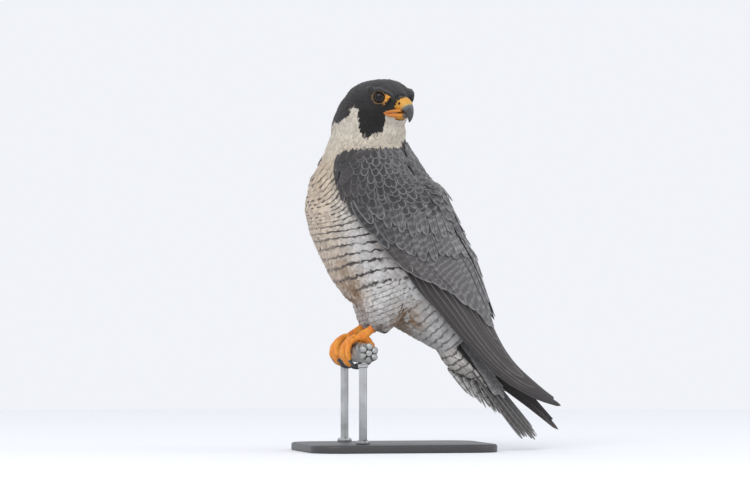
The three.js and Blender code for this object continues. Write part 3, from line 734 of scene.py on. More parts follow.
def plumage(p):
    """Colour and marks of the plumage at points: bars, spots, pale rims and a feather's own pale bars."""
    tone, mark, back = body_plumage(p)
    z = p[:, 2]

    # The neck is white in front and slate down the far side of its twist
    ragged = wobble(p, 7, 5)
    azimuth = np.degrees(np.arctan2(p[:, 1] + 19, p[:, 0]))
    azimuth = np.where(azimuth < 0, azimuth + 360, azimuth) + 3 * ragged
    first, last = (np.interp(z, NAPE_HEIGHTS, edge) for edge in NAPE_EDGES)
    nape = smooth(azimuth - first, -5, 5) * fade(azimuth - last, -5, 5)
    nape = np.maximum(nape * smooth(z, 288, 300) * fade(z, 334, 340), back)
    tone = blend(tone, blend(CREAM, CHEEK, smooth(z, 300, 330)[:, None]), smooth(z, 286, 306)[:, None])
    tone = blend(tone, SLATE * 0.85, nape[:, None])

    # The head has a black cap and moustache
    h = to_head(p)
    sideways = np.abs(h[:, 1])
    behind = np.degrees(np.arctan2(sideways, h[:, 0] + 4))
    edge = np.interp(h[:, 0] - sideways + 1.4 * ragged, CAP_EDGE[:, 0], CAP_EDGE[:, 1])
    edge = np.where(behind > 133, -20, edge)
    cap = smooth(h[:, 2] + 1.3 * wobble(p, 6, 7) - edge, -0.8, 0.8) * smooth(z, 308, 313)
    malar = fade(h[:, 2], -9, 0) * fade(behind, 96, 110)
    malar = np.clip(malar + 0.55 * hump(h[:, 2], 2, 8) * (behind < 110), 0, 1)
    lit = 0.35 * smooth(h[:, 0], 8, 26) * smooth(h[:, 2], 8, 16)
    crown = blend(blend(CROWN, MALAR, malar[:, None]), linear(70, 67, 69), lit[:, None])
    mark[:, :2] *= fade(z, 284, 300)[:, None]
    return np.clip(blend(tone, crown, cap[:, None]), 0, 1), mark


def lie_of(p, chance, leg=False):
    """Bar rows down the plumage and columns round it, and a random number."""
    z = p[:, 2]
    if leg:
        return np.stack([50 - (z - 0.4 * p[:, 1]) / THIGH_SPACING, on_thigh(p)[1] * 20 / 7.0, chance], 1)
    station, down, belly = on_body(p)
    half = spline(BODY[:, 4:5], station)[:, 0]
    ahead = flank_line(z) - p[:, 1]
    slope = blend(0.1, 1.1, smooth(z, 208, 262))
    run = -z - slope * 26 * np.tanh(ahead / 26) - 0.3 * 8 * np.logaddexp(0, (ahead - 34) / 8)
    phase = blend(down / 8.2 + 4.0, np.interp(run, *ROWS), smooth(z, 150, 158))
    return np.stack([phase, belly * (half * 1.15) / 10.0, chance], 1)


# Feathers


class Blade:
    """A closed feather's vertices in its own measures: share along, place across from -1 to 1, and face."""

    def __init__(self, rows, columns, breadth):
        inner = np.linspace(-1, 1, columns)
        ring = [(k, 1.0) for k in inner] + [(k, -1.0) for k in inner[-2:0:-1]]
        sides = len(ring)
        last = 1 + (len(rows) - 1) * sides
        self.along = np.array([0.0, *np.repeat(rows, sides), 1.0])
        self.across = np.array([0.0, *[k for k, _ in ring] * len(rows), 0.0])
        self.face = np.array([0.0, *[f if abs(k) < 1 else 0.0 for k, f in ring] * len(rows), 0.0])
        self.breadth = np.interp(self.along, *np.array(breadth).T)
        self.inside = 1 - self.across**2
        faces = [(0, 1 + (i + 1) % sides, 1 + i) for i in range(sides)]
        for start in range(1, last, sides):
            for i in range(sides):
                a, b = start + i, start + (i + 1) % sides
                faces += [(a, b, b + sides), (a, b + sides, a + sides)]
        faces += [(last + i, last + (i + 1) % sides, last + sides) for i in range(sides)]
        self.faces = np.array(faces)[:, ::-1]
        self.size = len(self.along)


# Half width of a feather's outline, against the share along it
OVAL = [(0, 0.3), (0.2, 0.72), (0.45, 0.98), (0.65, 1), (0.8, 0.9), (0.9, 0.7), (0.965, 0.42), (1, 0)]
LANCE = [(0, 0.35), (0.1, 0.7), (0.35, 1), (0.7, 0.96), (0.85, 0.8), (0.93, 0.6), (0.975, 0.36), (1, 0)]
QUILL = [(0, 0.5), (0.08, 0.9), (0.3, 1), (0.75, 0.86), (0.88, 0.66), (0.95, 0.42), (0.985, 0.2), (1, 0)]
BLUNT = [(0, 0.5), (0.08, 0.9), (0.3, 1), (0.75, 0.94), (0.88, 0.82), (0.95, 0.62), (0.985, 0.38), (1, 0)]
TAPER = [(0, 0.5), (0.3, 1), (0.6, 0.85), (0.8, 0.55), (0.93, 0.25), (1, 0)]
FLIGHT_ROWS = [0.03, 0.12, 0.24, 0.36, 0.48, 0.6, 0.7, 0.79, 0.87, 0.93, 0.97, 0.99]
TINY = Blade([0.25, 0.62, 0.88], 3, OVAL)
SMALL = Blade([0.15, 0.42, 0.68, 0.86, 0.96], 3, OVAL)
SOFT = Blade([0.12, 0.35, 0.58, 0.78, 0.91, 0.98], 5, OVAL)
COVERT = Blade([0.1, 0.35, 0.6, 0.78, 0.89, 0.96, 0.99], 5, OVAL)
LONG = Blade([0.04, 0.15, 0.3, 0.45, 0.6, 0.72, 0.82, 0.9, 0.95, 0.985], 7, LANCE)
SHAG = Blade([0.15, 0.35, 0.55, 0.75, 0.9], 5, TAPER)
PRIMARY = Blade(FLIGHT_ROWS, 7, BLUNT)
REMEX = Blade(FLIGHT_ROWS, 7, QUILL)
PATCH = 0.003


def feathers(
    name, blade, points, lengths, widths, tone, mark, lie, root_uv, slot, soften=None, mirrored=False
):
    """Joins feathers, given as points of shape (feathers, vertices of the blade, 3), into one piece.

    soften is a share, and normals that the feathers' own are blended towards by it.
    """
    count = len(points)
    faces = (blade.faces[None] + (np.arange(count) * blade.size)[:, None, None]).reshape(-1, 3)
    if mirrored:
        faces = faces[:, ::-1]
    made = mesh_piece(name, points.reshape(-1, 3), faces, slot, (), plumage_look)
    lengths, widths = (np.broadcast_to(v, count)[:, None] for v in (lengths, widths))
    edge = (1 - np.abs(blade.across)) * blade.breadth * (widths / 2)
    across = blade.across * blade.breadth * (widths / 2)
    tone = np.repeat(np.broadcast_to(tone, (count, 3)), blade.size, axis=0)
    mark = np.repeat(np.broadcast_to(mark, (count, 4)), blade.size, axis=0)
    rim = np.stack([edge, (1 - blade.along) * lengths, across], -1).reshape(-1, 3)
    attach(made, tone=tone, mark=mark, lie=lie.reshape(-1, 3), rim=rim)
    patch = np.stack(np.broadcast_arrays(blade.across * 0.5, blade.along - 0.5), -1) * PATCH
    uv = np.clip(root_uv, 0.004, 0.996)[:, None] + patch
    layer = made.data.uv_layers.new(name="OFBake")
    layer.uv.foreach_set("vector", uv.reshape(-1, 2)[faces.ravel()].astype(np.float32).ravel())
    if soften:
        share, over = soften
        normals = unit(blend(normals_of(made.data), over.reshape(-1, 3), share))
        made.data.normals_split_custom_set_from_vertices(normals.astype(np.float32))
    return made


def tree_of(mesh):
    return BVHTree.FromPolygons(points_of(mesh).tolist(), [tuple(f.vertices) for f in mesh.polygons])


def nearest(tree, points):
    """The nearest places on a surface, and its normals there."""
    found = [tree.find_nearest(p) for p in points.tolist()]
    return np.array([f[0] for f in found]), np.array([f[1] for f in found])


def scattered(mesh, spacing, keep, seed):
    """Places on a mesh no closer together than the spacing, among those that keep allows."""
    draw = np.random.default_rng(seed)
    a, b, c = (points_of(mesh)[corner] for corner in triangles_of(mesh).T)
    area = np.linalg.norm(np.cross(b - a, c - a), axis=1) / 2
    middle = (a + b + c) / 3
    wanted = area / (at_points(spacing, middle) ** 2) * keep(middle) * 9
    chosen = draw.choice(len(area), int(wanted.sum()), p=wanted / wanted.sum())
    u, v = draw.random((2, len(chosen)))
    u, v = np.where(u + v > 1, 1 - u, u)[:, None], np.where(u + v > 1, 1 - v, v)[:, None]
    tries = a[chosen] + u * (b[chosen] - a[chosen]) + v * (c[chosen] - a[chosen])
    gaps = at_points(spacing, tries)
    size = float(gaps.max())
    around_it = [(i, j, k) for i in (-1, 0, 1) for j in (-1, 0, 1) for k in (-1, 0, 1)]
    cells, kept = {}, []
    for n, (p, gap) in enumerate(zip(tries.tolist(), gaps.tolist())):
        at = tuple(int(x // size) for x in p)
        near = (q for i, j, k in around_it for q in cells.get((at[0] + i, at[1] + j, at[2] + k), ()))
        if all((p[0] - q[0]) ** 2 + (p[1] - q[1]) ** 2 + (p[2] - q[2]) ** 2 > gap * gap for q in near):
            cells.setdefault(at, []).append(p)
            kept.append(n)
    return tries[kept]


MARCH = 4


def marched(tree, roots, aim, lengths, turn):
    """Places, normals and ways at even steps over a surface from each root."""
    place, normal = nearest(tree, roots)
    steps = []
    for k in range(MARCH + 1):
        way = aim(place, normal)
        way = unit(way - normal * (way * normal).sum(1, keepdims=True))
        way = unit(way + np.cross(normal, way) * turn)
        steps.append((place, normal, way))
        if k < MARCH:
            place, normal = nearest(tree, place + way * (lengths / MARCH)[:, None])
    return (np.stack(v, 1) for v in zip(*steps))


def laid(tree, blade, roots, aim, lengths, widths, heights, thick, jitter, seed):
    """Feathers that follow a surface from their roots, and its normals under them. aim(points, normals) is
    their direction, heights a feather's height over the surface at its root and at its tip."""
    draw = np.random.default_rng(seed)
    count = len(roots)
    lengths, widths = np.broadcast_to(lengths, count), np.broadcast_to(widths, count)
    turn = draw.normal(0, jitter, count)[:, None]
    spine, normals, ways = marched(tree, roots, aim, lengths, turn)
    middle = spine[:, 2]
    beside = np.cross(normals[:, 2], ways[:, 2])
    sides = [nearest(tree, middle + beside * (k * widths / 2)[:, None])[0] for k in (-1, 1)]
    drop = sum(((middle - s) * normals[:, 2]).sum(1) for s in sides) / 2
    drop = np.clip(drop, -widths * 0.1, widths * 0.3)
    at = blade.along * MARCH
    k = np.minimum(at.astype(int), MARCH - 1)
    t = (at - k)[None, :, None]
    line = blend(spine[:, k], spine[:, k + 1], t)
    up = unit(blend(normals[:, k], normals[:, k + 1], t))
    way = unit(blend(ways[:, k], ways[:, k + 1], t))
    ragged = 1 + draw.normal(0, 0.05, (count, blade.size)) * (blade.along > 0.5)
    across = blade.across * blade.breadth * (widths / 2)[:, None] * ragged
    low, tall = (at_points(height, roots)[:, None] for height in heights)
    high = blend(low, tall, blade.along**1.3)[..., None]
    lift = draw.normal(0, 0.14, count)[:, None, None] * blade.along[None, :, None] ** 2
    crown = (blade.inside * 0.06 * widths[:, None])[..., None]
    fall = (drop[:, None] * (blade.across * blade.breadth) ** 2)[..., None]
    depth = (blade.face * thick / 2)[None, :, None]
    points = line + np.cross(up, way) * across[..., None] + up * (high + lift + crown - fall + depth)
    return points, up


# The skin under the coat

COAT = {"face": 0.5, "head": 1.3, "body": 2.6}
# The ridge over each eye, from behind it forward to the bill, in the head's frame, and its radii
BROW = [
    (3, 19.5, 11.8), (10, 21.6, 13), (16.5, 22.6, 12.8), (22, 21.2, 11.6), (27, 17.4, 9.4),
    (29.4, 14.4, 4.6), (29.8, 11.6, 0.5),
]
BROW_RADII = [0, 0.3, 0.7, 1], [2.0, 3.2, 2.3, 1.5]
BROW_RINGS = 24
# A filling between the ridges, with its radii
FOREHEAD = [(4, 8, 16.5), (11, 10, 16), (17, 11.5, 13.4), (21.5, 12, 9.8)]
FOREHEAD_RADII = [5, 6.5, 6.8, 5.5]
FLESH = ["head", "neck", "torso", "thigh_left", "thigh_right"]
EYE_AIM = math.radians(32)
UP = np.array([0, 0, 1.0])


def eye_frame(side):
    """The eye's centre and its axes: out along its gaze, towards the bill, and up, in the head's frame."""
    centre = np.array([EYE_FORWARD, side * EYE_SIDE, EYE_UP])
    out = np.array([math.sin(EYE_AIM), side * math.cos(EYE_AIM), 0.05])
    out /= np.linalg.norm(out)
    front = unit(np.array([math.cos(EYE_AIM), -side * math.sin(EYE_AIM), 0.0]))
    return centre, out, front, UP


def degrees_from(middle, turned):
    """Degrees from a middle angle to others given in radians, between -180 and 180."""
    return np.degrees(np.angle(np.exp(1j * (turned - middle))))


def lid_reach(turned):
    """How far the bare ring reaches from the eye's middle: a wedge in front, a point behind."""
    ahead = degrees_from(-0.4, turned)
    return 6.4 + 4.4 * np.exp(-((ahead / 40) ** 4)) + 1.3 * hump(degrees_from(math.pi - 0.1, turned), 0, 20)


def by_eye(h, side):
    """How far points lie within the bare ring, ahead of the eye's middle, and out along its gaze."""
    centre, out, front, up = eye_frame(side)
    off = h - centre
    ahead, rise = off @ front, off @ up
    return lid_reach(np.arctan2(rise, ahead)) - np.hypot(ahead, rise), ahead, off @ out


def swollen(node, by):
    """A CAD node's mesh, moved out along its normals, as points and faces in millimetres."""
    mesh = frame["nodes"][node].data
    return points_of(mesh) + normals_of(mesh) * by, triangles_of(mesh)


def coat_depth(points):
    """How deep the skin lies under the solids' surface."""
    h = to_head(points)
    face = fade(np.linalg.norm(h - [26, 0, -4], axis=1), 14, 26) * (points[:, 2] > 318)
    depth = blend(COAT["body"], COAT["head"], smooth(points[:, 2], 300, 325))
    depth = blend(depth, COAT["face"], face)
    for side in SIDES.values():
        within, _, out = by_eye(h, side)
        depth = depth + 1.6 * smooth(within, 0.1, 1.8) * (out > -8)
    return depth[:, None]


def make_skin():
    parts = [swollen(n, 0.3) for n in FLESH]
    share = np.linspace(0, 1, BROW_RINGS)
    for side in SIDES.values():
        brow = spline(np.array(BROW) * [1, side, 1], np.linspace(0, len(BROW) - 1, BROW_RINGS))
        parts.append(tube(from_head(brow), np.interp(share, *BROW_RADII), 12))
        parts.append(tube(from_head(np.array(FOREHEAD) * [1, side, 1]), FOREHEAD_RADII, 16))
    made = fused("skin", parts, 1.5, 6, "breast_plumage", FLESH, plumage_look)
    points = points_of(made.data)
    points = points - normals_of(made.data) * coat_depth(points)
    made.data.vertices.foreach_set("co", (points * MM).astype(np.float32).ravel())
    made.data.update()
    tone, mark = plumage(points)
    count = len(points)
    lie = lie_of(points, np.full(count, 0.5))
    attach(made, tone=tone, mark=mark, lie=lie, rim=np.full((count, 3), 9.0))
    return made


plumage_look = plumage_material("plumage")
skin = make_skin()
skin_tree = tree_of(skin.data)

# The coat over the skin

# Where the folded wing ends towards the belly, in degrees from the middle of the back, from station 1 on.
LOW_ANGLES = np.array([[138.0, 119, 104, 94, 85, 84, 87, 90, 91]]).T


def low_angle(station):
    return spline(LOW_ANGLES, np.asarray(station, float) - 1)[..., 0]


def top_angle(station):
    """Where the folded wing ends towards the back."""
    return blend(60, 4, smooth(station, WING_FROM, 3.4)) + 3 * np.maximum(0, np.asarray(station, float) - 6)


def is_open(p):
    """Where no wing, eye or bill covers the skin."""
    station, _, belly = on_body(p)
    back = np.degrees(np.pi - np.abs(belly))
    top = np.interp(station, [WING_FROM, 3.4], [60, 4]) + 6
    covered = (back < low_angle(station) - 12) & (back > top) & (station > 0.75)
    h = to_head(p)
    for side in SIDES.values():
        within, ahead, out = by_eye(h, side)
        covered |= (within > 0.6 - 3.0 * smooth(ahead, 2, 6)) & (out > 0)
    bill = (h[:, 0] > 23) & (np.abs(h[:, 1]) < 11.5) & (h[:, 2] > -18) & (h[:, 2] < 9.5)
    return ~(covered | bill)


def on_leg(p):
    return (on_thigh(p)[0] < 2.6) & (p[:, 2] < 186)


def open_between(low, high):
    return lambda p: (p[:, 2] > low) & (p[:, 2] <= high) & is_open(p)


def upper_back(p):
    turned = round_neck(p)
    return (p[:, 2] > 236) & (p[:, 2] < 309 - 7 * smooth(turned, 25, 50)) & (turned < 78)


def by_face(far, near):
    """One number by the bill and eyes, and another on the rest of the head."""
    return lambda p: blend(far, near, fade(np.linalg.norm(to_head(p) - [27, 0, -2], axis=1), 14, 34))


def body_aim(p, _normal):
    """Down the body's line, or straight down on the thighs."""
    k = np.clip((on_body(p)[0] * PER_STATION).astype(int), 1, len(CENTRES) - 2)
    along = CENTRES[k + 1] - CENTRES[k - 1]
    way = unit(np.stack([np.zeros(len(p)), along[:, 0], along[:, 1]], 1))
    leg = (on_thigh(p)[0] < 2.2) & (p[:, 2] < 176)
    return np.where(leg[:, None], np.array([0.02, -0.12, -1.0]), way)


def head_aim(p, normal):
    """Back over the crown, back and down the cheeks, and down the throat and neck."""
    h = to_head(p)
    low = smooth(h[:, 2], 12, -30)
    rear = smooth(h[:, 0], 0, -34)
    local = np.stack([-1 + 0.75 * low + 0.6 * rear, 0.12 * h[:, 1] / 25, -0.12 - 1.0 * low - 1.2 * rear], 1)
    chin = fade(np.abs(h[:, 1]), 4, 16) * smooth(h[:, 0], 12, 24) * (h[:, 2] < -12)
    local = blend(local, np.array([-0.9, 0, -0.6]), chin[:, None])
    return blend(unit(local @ HEAD_AXES), body_aim(p, normal), smooth(p[:, 2], 322, 306)[:, None])


def unwrap(p):
    """A place for each point on an unwrap of the body's own shape: round it and down it."""
    _, down, belly = on_body(p)
    return np.stack([belly / TAU + 0.5, 0.02 + 0.7 * (down + 30) / 360], 1)


def contour(region, blade, spacing, keep, aim, length, width, heights, thick, slot, seed, soften):
    """A region of small feathers over the skin."""
    roots = scattered(skin.data, spacing, keep, seed)
    count = len(roots)
    draw = np.random.default_rng(seed + 1)
    size = draw.uniform(0.88, 1.12, count)
    lengths, widths = at_points(length, roots) * size, at_points(width, roots) * size
    points, up = laid(skin_tree, blade, roots, aim, lengths, widths, heights, thick, 0.1, seed + 2)
    shown = points[:, np.argmin(np.abs(blade.along - 0.75))]
    tone, mark = plumage(shown)
    if region == "mantle":
        tone = blend(SLATE, ASH, draw.random(count)[:, None] * 0.8)
        mark[:] = [0, 0, 0.6, 0.4]
    if region == "thigh":
        mark[:, 0], mark[:, 1] = 0.85 * (1 - 0.6 * draw.random(count)), 0
    else:
        mark[:, 0] *= 1 - hump(shown[:, 2], 154, 8) * (np.abs(shown[:, 0]) > 6)
    chance = np.repeat(draw.random(count), blade.size)
    lie = lie_of(points.reshape(-1, 3), chance, region == "thigh")
    lie[:, 0] += np.repeat(draw.normal(0, 0.03, count), blade.size)
    print(region, count, "feathers,", count * len(blade.faces), "triangles")
    name, uv = f"{region}_feathers", unwrap(roots)
    feathers(name, blade, points, lengths, widths, tone, mark, lie, uv, slot, (soften, up))


def make_plumage():
    contour(
        "head", SMALL, by_face(1.95, 1.3), open_between(318, np.inf), head_aim, by_face(7.6, 3.4),
        by_face(2.6, 1.5), (-0.3, 0.45), 0.25, "head_plumage", 100, 0.8,
    )
    contour(
        "neck", SMALL, 1.95, open_between(284, 320), head_aim, 9, 3.2, (-0.4, 0.8), 0.3, "neck_plumage",
        200, 0.85,
    )
    belly = open_between(-np.inf, 207)
    for region, keep, seed in [
        ("breast", open_between(205, 286), 300),
        ("belly", lambda p: belly(p) & ~on_leg(p), 400),
    ]:
        contour(region, SMALL, 3.3, keep, body_aim, 16, 6.6, (-0.6, 1.3), 0.35, "breast_plumage", seed, 0.75)
    contour(
        "mantle", SOFT, 4.2, upper_back, body_aim, 15, 7.6,
        (1.5, lambda p: 2.2 + 3.0 * hump(p[:, 2], 282, 16)), 0.4, "neck_plumage", 450, 0.55,
    )
    contour(
        "thigh", SMALL, 2.7, on_leg, body_aim, lambda p: 13 + 6 * fade(p[:, 2], 122, 142), 4.6, (-0.5, 1.1),
        0.3, "thigh_plumage", 500, 0.75,
    )


make_plumage()

# The wings, feather by feather in tiers, by stations and angles on their own course

WING_DEPTHS = [3, 8.5, 10, 11, 11, 9.5, 7.6, 6, 3.4, 1.8]
# Millimetres from each station to the next
STATION_LENGTHS = [27, 30, 38, 42, 45, 52, 48, 42, 34]
PRIMARY_TIPS = np.array([8.75, 9.0, 8.72, 8.35, 7.95, 7.55, 7.2, 6.9, 6.6, 6.35])


def wing_depth(station):
    start = smooth(station, WING_FROM - 0.35, WING_FROM + 0.25)
    return np.interp(station, np.arange(10), WING_DEPTHS) * start


def wrist_swell(station, share):
    return 6.5 * hump(station, 1.15, 0.75) * hump(share, 0.92, 0.24)


def rounded(share):
    """A wing's height across it, rounded off at its two edges."""
    return np.sqrt(1 - 0.96 * np.abs(2 * share - 1) ** 5)


def arm_height(station, angle):
    """The height of the wing's smooth form over the body."""
    top, low = top_angle(station), low_angle(station)
    share = np.clip((angle - top) / (low - top), 0, 1)
    form = wing_depth(station) - 1.6 + wrist_swell(station, share)
    return WING_LIFT + (form - WING_LIFT) * rounded(share)


def sheet(side, start, end, top, low, inner, outer, columns):
    """A closed sheet over part of a wing's course."""
    share = np.linspace(0, 1, columns)[None]
    s = np.linspace(start, end, 60)[:, None]
    angle = blend(top(s), low(s), share)
    high = inner + np.maximum(0.4, (outer(s, share) - inner) * rounded(share))
    over, under = (on_course(WING[side], s, angle, lift, side) for lift in (high, inner))
    return closed(np.concatenate([over, under[:, ::-1]], 1))


def make_wing_core(name, side):
    """The smooth form under one wing's feathers: its arm, and its hand below."""

    def arm_low(s):
        return low_angle(s) - 6.6 - 34 * smooth(s, 3.6, 5.2) - 22 * fade(s, 0.6, 1.0)

    def arm_outer(s, share):
        return (wing_depth(s) - 2.2) * (1 - 0.5 * smooth(s, 4, 5.3)) + wrist_swell(s, share)

    def hand_top(s):
        return np.maximum(low_angle(s) - 60 - 6 * smooth(s, 3, 6), top_angle(s) + 2)

    def hand_outer(s, share):
        return np.minimum(3.0, wing_depth(s)) + 0 * share

    arm = sheet(
        side, WING_FROM + 0.02, 5.3, lambda s: top_angle(s) + 5, arm_low, WING_LIFT + 0.5, arm_outer, 24
    )
    hand = sheet(side, HAND_FROM, 8.7, hand_top, lambda s: low_angle(s) - 1, WING_LIFT, hand_outer, 16)
    points, faces = together([arm, hand])
    points[:, 0] = side * np.maximum(side * points[:, 0], 0.3)
    made = mesh_piece(f"wing_core_{name}", points, faces, "wing_feathers", [f"wing_{name}"], plumage_look)
    attach_plain(made, SHOULDER)


class Wing:
    """Gathers one wing's feathers, each from its root to its tip in stations and angles."""

    def __init__(self, name, side, seed):
        self.name, self.side, self.course = name, side, WING[side]
        self.draw = np.random.default_rng(seed)
        self.pieces = {}

    def lay(
        self, key, blade, roots, tips, lifts, widths, tone, mark, thick, tilt=0.0, hug=False, free=False
    ):
        """lifts are the heights at root and tip, over the body, or over the arm's form if it hugs that.
        Free feathers may cross the wing's inner edge."""
        roots, tips, lifts = (np.asarray(v, float) for v in (roots, tips, lifts))
        count = len(roots)
        widths = np.broadcast_to(np.asarray(widths, float), (count,))
        at, k = blade.along[None], blade.across[None]
        station = blend(roots[:, :1], tips[:, :1], at)
        middle = blend(roots[:, 1:], tips[:, 1:], at)
        here = spline(self.course, station)
        turned = np.radians(middle)
        radius = np.where(np.cos(turned) > 0, here[..., 2], here[..., 3])
        reach = np.sqrt((radius * np.sin(turned)) ** 2 + (here[..., 4] * np.cos(turned)) ** 2)
        ragged = 1 + self.draw.normal(0, 0.025, (count, blade.size)) * (at > 0.4)
        across = k * blade.breadth[None] * widths[:, None] / 2 * ragged
        angle = middle + np.degrees(across / np.maximum(reach, 6))
        inside = 1.5 if free else top_angle(station) + 0.6
        angle = np.clip(angle, inside, low_angle(station) + 2)
        high = blend(lifts[:, :1], lifts[:, 1:], at**1.2)
        if hug:
            high = high + arm_height(station, angle)
        high = high + tilt * k * blade.breadth[None] + 0.25 * (1 - k**2) + blade.face[None] * thick / 2
        high = high + self.draw.normal(0, 0.12, (count, 1)) * at**2
        points = on_course(self.course, station, angle, high, self.side)
        over = unit(on_course(self.course, station, angle, high + 1, self.side) - points)
        points[..., 0] = self.side * np.maximum(self.side * points[..., 0], 0.25)
        start, end = (on_course(self.course, v[:, 0], v[:, 1]) for v in (roots, tips))
        uv = np.stack([roots[:, 1] / 150, roots[:, 0] / 7.5], 1)
        lie = np.zeros((count, blade.size, 3))
        lie[..., 2] = self.draw.random(count)[:, None]
        tone, mark = np.broadcast_to(tone, (count, 3)), np.broadcast_to(mark, (count, 4))
        row = (points, np.linalg.norm(end - start, axis=1), widths, tone, mark, lie, uv, over)
        self.pieces.setdefault((key, blade), []).append(row)

    def finish(self):
        for (key, blade), rows in self.pieces.items():
            *measures, over = (np.concatenate(v) for v in zip(*rows))
            count = len(over)
            print(key, self.name, count, "feathers,", count * len(blade.faces), "triangles")
            name = f"{key}_{self.name}"
            soften = (0.5 if key == "lesser_coverts" else 0.3, over)
            feathers(name, blade, *measures, "wing_feathers", soften, mirrored=self.side > 0)


def along_line(points, shares):
    """Places at shares of the way along a list of [station, angle]."""
    points = np.asarray(points, float)
    at = np.asarray(shares) * (len(points) - 1)
    return np.stack([np.interp(at, np.arange(len(points)), column) for column in points.T], 1)


def marks(fringe, own):
    """Marks of feathers without bars or spots: pale rims and pale bars of their own."""
    fringe, own = np.broadcast_arrays(fringe, own)
    return np.stack([0 * own, 0 * own, fringe, own], 1)


def lesser_coverts(wing):
    """Small scale-like feathers in staggered rows from the shoulder down."""
    station, row = WING_FROM - 0.06, 0
    while station < 2.75:
        share = smooth(station, 1.2, 3.4)
        exposed, broad = blend(4.9, 7.6, share), blend(6.6, 8.8, share)
        low, top = float(low_angle(station)) - 4 - 3 * share, float(top_angle(station)) + 1
        here = spline(wing.course, station)
        breadth = math.radians(low - top) * (here[3] + here[4]) / 2
        count = max(3, round(breadth / (broad * 0.86)))
        turned = low - (np.arange(count) + 0.5 * (row % 2)) * (low - top) / count
        turned = turned + wing.draw.normal(0, 1.0, count)
        start = station + wing.draw.normal(0, 0.035, count)
        start = start + 0.22 * smooth(turned, 112, 140) * fade(station, 0.9, 1.8)
        stride = 1 / np.interp(station, np.arange(9) + 0.5, STATION_LENGTHS)
        roots = np.stack([start, turned], 1)
        tips = np.stack([start + exposed * 2.3 * stride, turned - 3.5 * share], 1)
        place = (low - turned) / (low - top)
        plain = fade(place, 0.1, 0.5) * fade(station, 1.2, 2.4)
        tone = blend(SLATE * 0.84, ASH, smooth(place, 0.55, 1)[:, None] * 0.5)
        tone = blend(tone, SHOULDER, fade(place, 0.0, 0.45)[:, None])
        mark = marks(0.78 * (1 - 0.92 * plain), 0.25 * smooth(place, 0.5, 1))
        widths = broad * 1.12 * wing.draw.uniform(0.92, 1.08, count)
        lifts = np.tile([-0.9, 1.15], (count, 1))
        wing.lay("lesser_coverts", COVERT, roots, tips, lifts, widths, tone, mark, 0.4, hug=True)
        station += exposed * stride
        row += 1


def tier(wing, key, count, roots, tips, sink, rise, width, tone, own, fringe, scatter=0.1, free=False):
    """A row of overlapping feathers between a line of roots and a line of tips."""
    shares = np.linspace(0, 1, count)
    starts, ends = along_line(roots, shares), along_line(tips, shares)
    ends[:, 0] += wing.draw.normal(0, scatter, count)
    ends[:, 1] += wing.draw.normal(0, scatter * 16, count)
    lifts = np.stack([wing_depth(starts[:, 0]) - 1.2 - sink, wing_depth(ends[:, 0]) + rise(shares)], 1)
    if free:
        over = smooth(starts[:, 1] - top_angle(starts[:, 0]), -6, 6)
        lifts[:, 0] = blend(2.4, lifts[:, 0], over)
    widths = blend(*width, shares) * wing.draw.uniform(0.85, 1.1, count)
    tones, mark = blend(*tone, shares[:, None]), marks(fringe, blend(*own, shares))
    wing.lay(key, LONG, starts, ends, lifts, widths, tones, mark, 0.6, 0.35, free=free)


def primaries(wing):
    n = np.arange(len(PRIMARY_TIPS))

    def edge(station):
        return low_angle(station) + 0.5 - n * blend(3.7, 6.4, smooth(station, 5.5, 8.5))

    def high(station):
        return 3.0 + 0.21 * n - 1.7 * smooth(station, 6.5, 9)

    start, ends = 4.0 + 0.07 * n, PRIMARY_TIPS
    roots = np.stack([start, edge(start) - 4], 1)
    tips = np.stack([ends, edge(ends) - blend(5, 12, smooth(ends, 6, 9))], 1)
    lifts = np.stack([high(start), high(ends)], 1)
    # Painted light: the far (right) wing's primaries are made 2.2 times lighter, against the shade they lie in
    tone = blend(FLIGHT * 0.55, FLIGHT, smooth(n, 0, 4)[:, None]) * (1 if wing.side > 0 else 2.2)
    mark = marks(0.36 + 0.16 * np.sin(5 * n), 0.0 * n)
    wing.lay("primaries", PRIMARY, roots, tips, lifts, 9.2, tone, mark, 0.5, 0.35)


